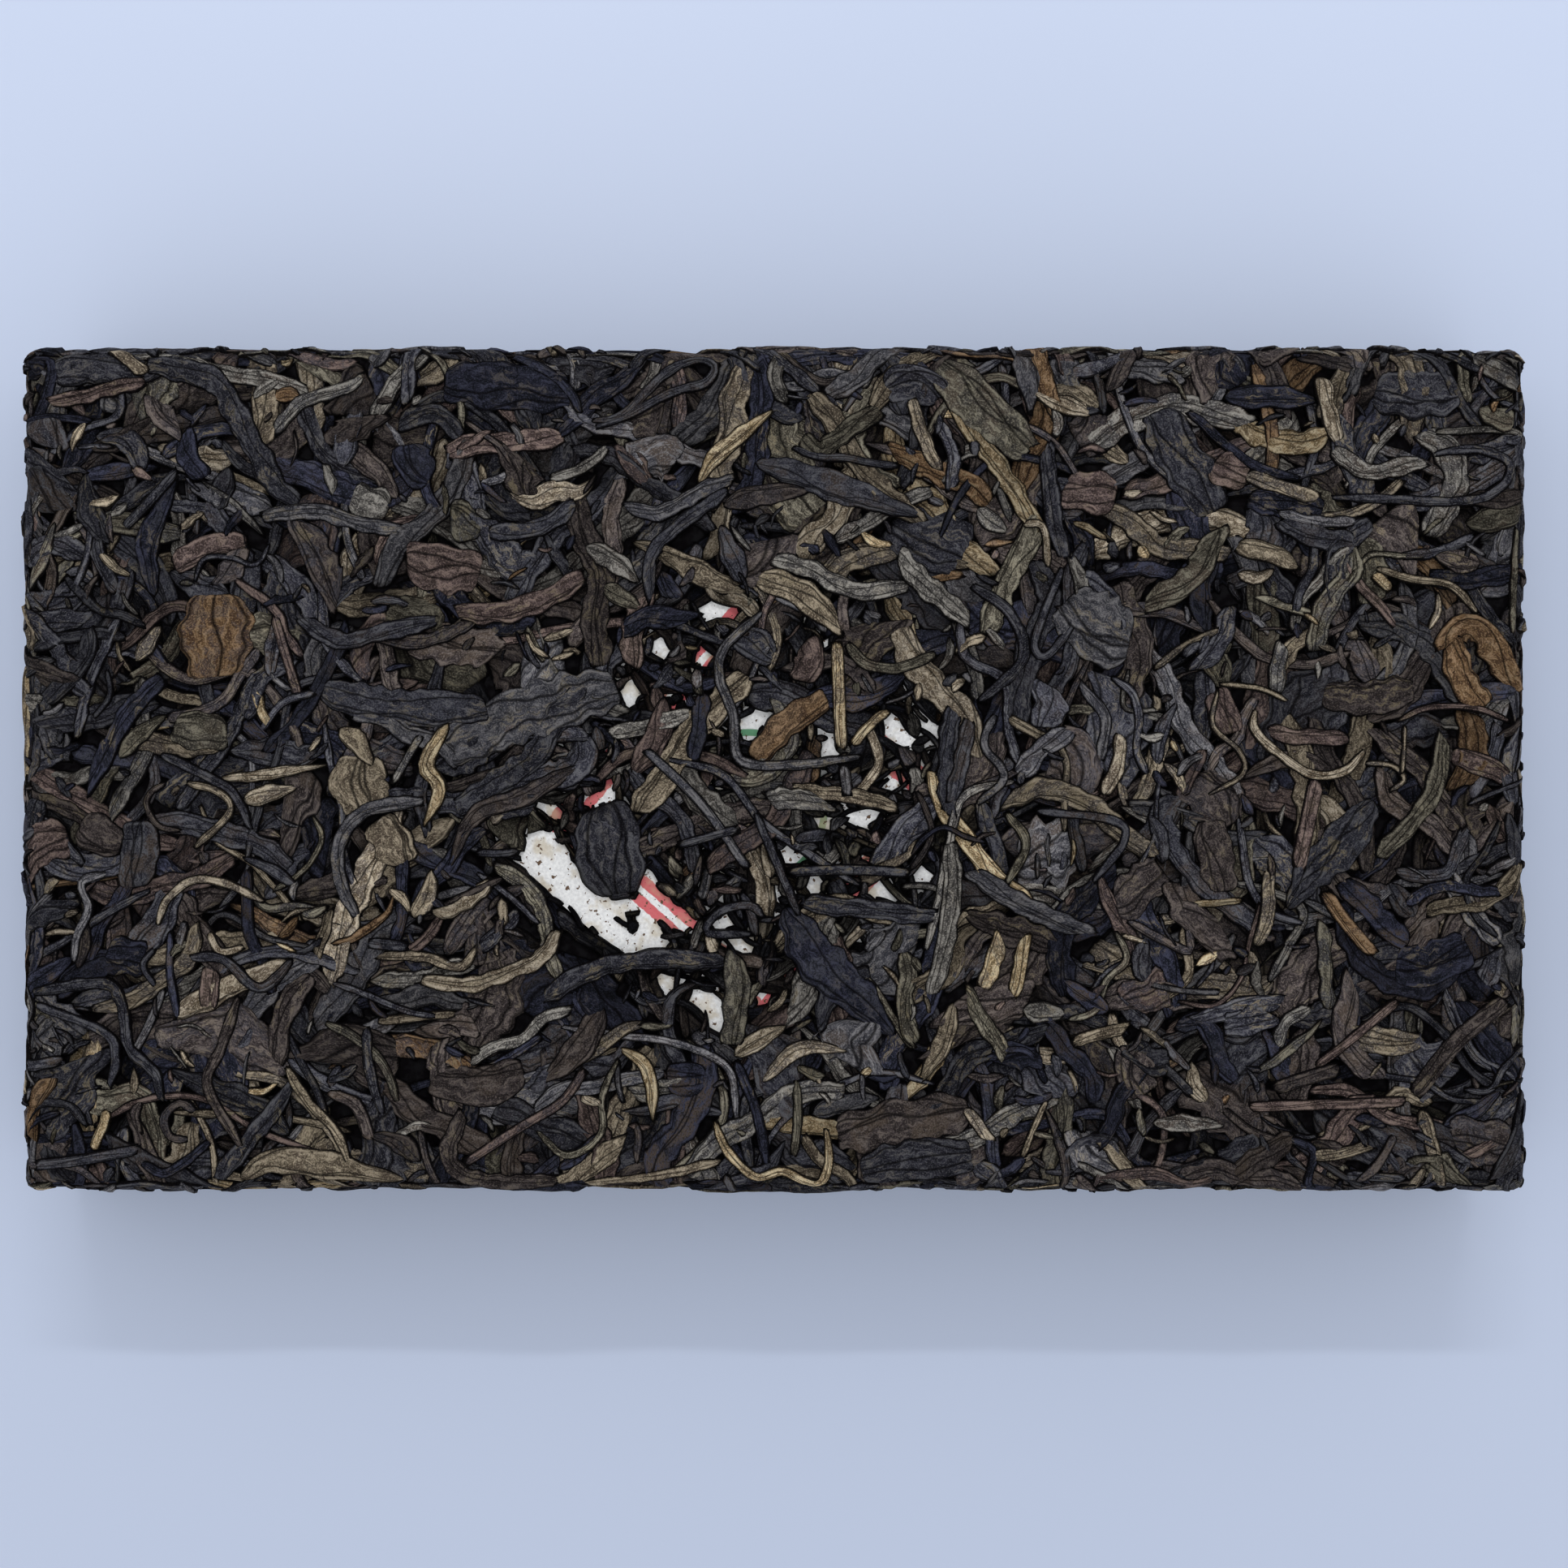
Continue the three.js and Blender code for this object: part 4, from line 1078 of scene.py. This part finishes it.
def ticket_windows():
    """The cells of the top that random leaves keep clear of, so that the ticket shows there."""
    top = FACES["top"]
    rows, columns = np.indices(top.pile.shape)
    u = (rows + 0.5) * CELL - top.reach[0]
    v = (columns + 0.5) * CELL - top.reach[1]
    closed = np.zeros(top.pile.shape, bool)
    for width, *pixels in TICKET_WINDOWS.values():
        points = [to_top(pixel) for pixel in pixels]
        for a, b in zip(points, points[1:]):
            way = (b[0] - a[0], b[1] - a[1])
            part = ((u - a[0]) * way[0] + (v - a[1]) * way[1]) / (way[0] ** 2 + way[1] ** 2)
            part = np.clip(part, 0, 1)
            away = np.hypot(u - a[0] - part * way[0], v - a[1] - part * way[1])
            closed |= away < max(WINDOW_LEAST, width / 2 * MM_PER_PIXEL - WINDOW_MARGIN)
    return closed & (past_ticket(u, v) < -0.1)


def scatter_crumbs(name, side, count, ceiling, closed=None):
    """Slivers and small broken bits, in the low places."""
    face = FACES[name]
    for _ in range(count):
        spots = rng.uniform(-1, 1, (5, 2)) * face.spread
        level = face.ground(*spots.T)
        if closed is not None:
            level = np.where(closed[face.cells(*spots.T)], 0, level)
        u, v = spots[np.argmin(level)]
        turn = rng.uniform(0, math.pi)
        reach = rng.uniform(0.6, 2.2)
        bend = rng.uniform(-0.3, 0.3) * reach
        c, s = math.cos(turn), math.sin(turn)
        route = [(u - reach * c, v - reach * s), (u - bend * s, v + bend * c), (u + reach * c, v + reach * s)]
        width = rng.uniform(0.5, 1.3)
        lay_leaf(face, f"{side}_{pick_tone()}", "crumb", route, width, ceiling, closed=closed)


def fray_edges(name, side, count, ceiling):
    """Broken bits along the rim of a face, standing a little proud at the top."""
    face = FACES[name]
    for _ in range(count):
        along = rng.integers(2)
        spot = rng.uniform(-1, 1, 2) * face.half
        spot[1 - along] = np.sign(spot[1 - along]) * (face.half[1 - along] + rng.uniform(-0.4, 1.2))
        turn = rng.uniform(0, math.pi)
        reach = rng.uniform(0.5, 1.8)
        way = np.array([math.cos(turn), math.sin(turn)]) * reach
        route = [spot - way, spot + way]
        lay_leaf(face, f"{side}_{pick_tone(0)}", "crumb", route, rng.uniform(0.5, 1.5), ceiling)


def cover_top():
    top = FACES["top"]
    closed = ticket_windows()
    lay_ticket()
    top.start = np.maximum(top.start, -CORE_DEPTH)
    strew("top", "top", count=110, ceiling=-1.1, forms=LOWER_FORMS, closed=closed, spot=over_ticket)
    for count, ceiling, size in ((240, -0.8, 0.5), (600, -0.9, 0.2)):
        strew("top", "top", count, ceiling, UPPER_FORMS, size, closed=closed, spot=over_ticket)
    strew("top", "top", count=560, ceiling=-0.8, forms=LOWER_FORMS, size=1.15, coarse=1.3, closed=closed)
    strew("top", "top", count=420, ceiling=-0.5, forms=UPPER_FORMS, closed=closed)
    before = top.pile.copy()
    for _, kind, tone, width, *pixels in SEEN_LEAVES:
        points = [to_top(p) for p in pixels]
        lay_leaf(top, f"top_{tone}", kind, points, width * MM_PER_PIXEL, -0.1, light=(0.9, 1.1))
    closed |= top.pile > before + 0.02
    strew("top", "top", count=340, ceiling=-0.3, forms=UPPER_FORMS, size=0.7, closed=closed)
    scatter_crumbs("top", "top", count=900, ceiling=-0.3, closed=closed)
    fray_edges("top", "top", count=160, ceiling=0.3)


def cover_other_faces():
    for name, under, over in (
        ("bottom", 300, 420),
        ("front", 80, 130),
        ("back", 80, 130),
        ("right", 46, 75),
        ("left", 46, 75),
    ):
        side = "under" if name == "bottom" else "side"
        strew(name, side, under, ceiling=-0.9, forms=LOWER_FORMS, size=1.1, coarse=2.2)
        strew(name, side, over, ceiling=-0.3, forms=LOWER_FORMS, coarse=1.6)
        strew(name, side, over, ceiling=0.0, forms=UPPER_FORMS, size=0.8, coarse=1.2)
    fray_edges("bottom", "under", count=120, ceiling=0.0)


# The stage, in metres: the table's size and tones, the room's light and the lamp
TABLE_HALF = 1.5
TABLE_TONES = ((196, 208, 232), (204, 215, 238))
ROOM_COLOUR = (0.97, 0.98, 1.0, 1.0)
ROOM_STRENGTH = 0.82
LAMP_PLACE = (0, 1.1, 1.2)
LAMP_SIZE = 0.6
LAMP_POWER = 64.0
LAMP_COLOUR = (0.98, 0.99, 1.0)


def make_floor():
    n = Nodes("pale_table")
    place = n.add("ShaderNodeTexCoord").outputs["Object"]
    cloud = n.noise(place, 6.0, 2.0)
    colour = n.mix(cloud, *(to_linear(c) for c in TABLE_TONES))
    n.join(colour, n.shader.inputs["Base Color"])
    n.shader.inputs["Roughness"].default_value = 0.6
    mesh = bpy.data.meshes.new("table")
    corners = [(x * TABLE_HALF, y * TABLE_HALF, 0) for x, y in ((-1, -1), (1, -1), (1, 1), (-1, 1))]
    mesh.from_pydata(corners, [], [(0, 1, 2, 3)])
    mesh.materials.append(n.material)
    table = bpy.data.objects.new("table", mesh)
    bpy.context.scene.collection.objects.link(table)


def add_light(name, place, size, power, colour):
    light = bpy.data.lights.new(name, "AREA")
    light.shape = "SQUARE"
    light.size = size
    light.energy = power
    light.color = colour
    lamp = bpy.data.objects.new(name, light)
    lamp.location = place
    lamp.rotation_euler = (math.atan2(place[1], place[2]), 0, 0)
    bpy.context.scene.collection.objects.link(lamp)


def make_lights():
    world = bpy.data.worlds.new("soft_room")
    world.use_nodes = True
    world.node_tree.nodes["Background"].inputs[0].default_value = ROOM_COLOUR
    world.node_tree.nodes["Background"].inputs[1].default_value = ROOM_STRENGTH
    bpy.context.scene.world = world
    add_light("window_light", LAMP_PLACE, LAMP_SIZE, LAMP_POWER, LAMP_COLOUR)
    bpy.context.scene.view_settings.view_transform = "Standard"


def make_camera():
    camera = bpy.data.cameras.new("camera")
    camera.sensor_width = 36
    camera.lens = camera.sensor_width / 2 / math.tan(VIEW_ANGLE / 2)
    camera.clip_start = 0.01
    eye = bpy.data.objects.new("camera", camera)
    x, y = to_top((PHOTO_SIDE / 2, PHOTO_SIDE / 2))
    away = PHOTO_SIDE * MM_PER_PIXEL / 2 / math.tan(VIEW_ANGLE / 2)
    eye.location = (x * MM, y * MM, (THICK + away) * MM)
    bpy.context.scene.collection.objects.link(eye)
    bpy.context.scene.camera = eye


make_core()
cover_top()
cover_other_faces()
for piece, laid in sorted(leaves.items()):
    join_leaves(f"leaves_{piece}", laid, leaf_material(f"leaf_{piece}", piece.split("_")[1]))
make_floor()
make_lights()
make_camera()
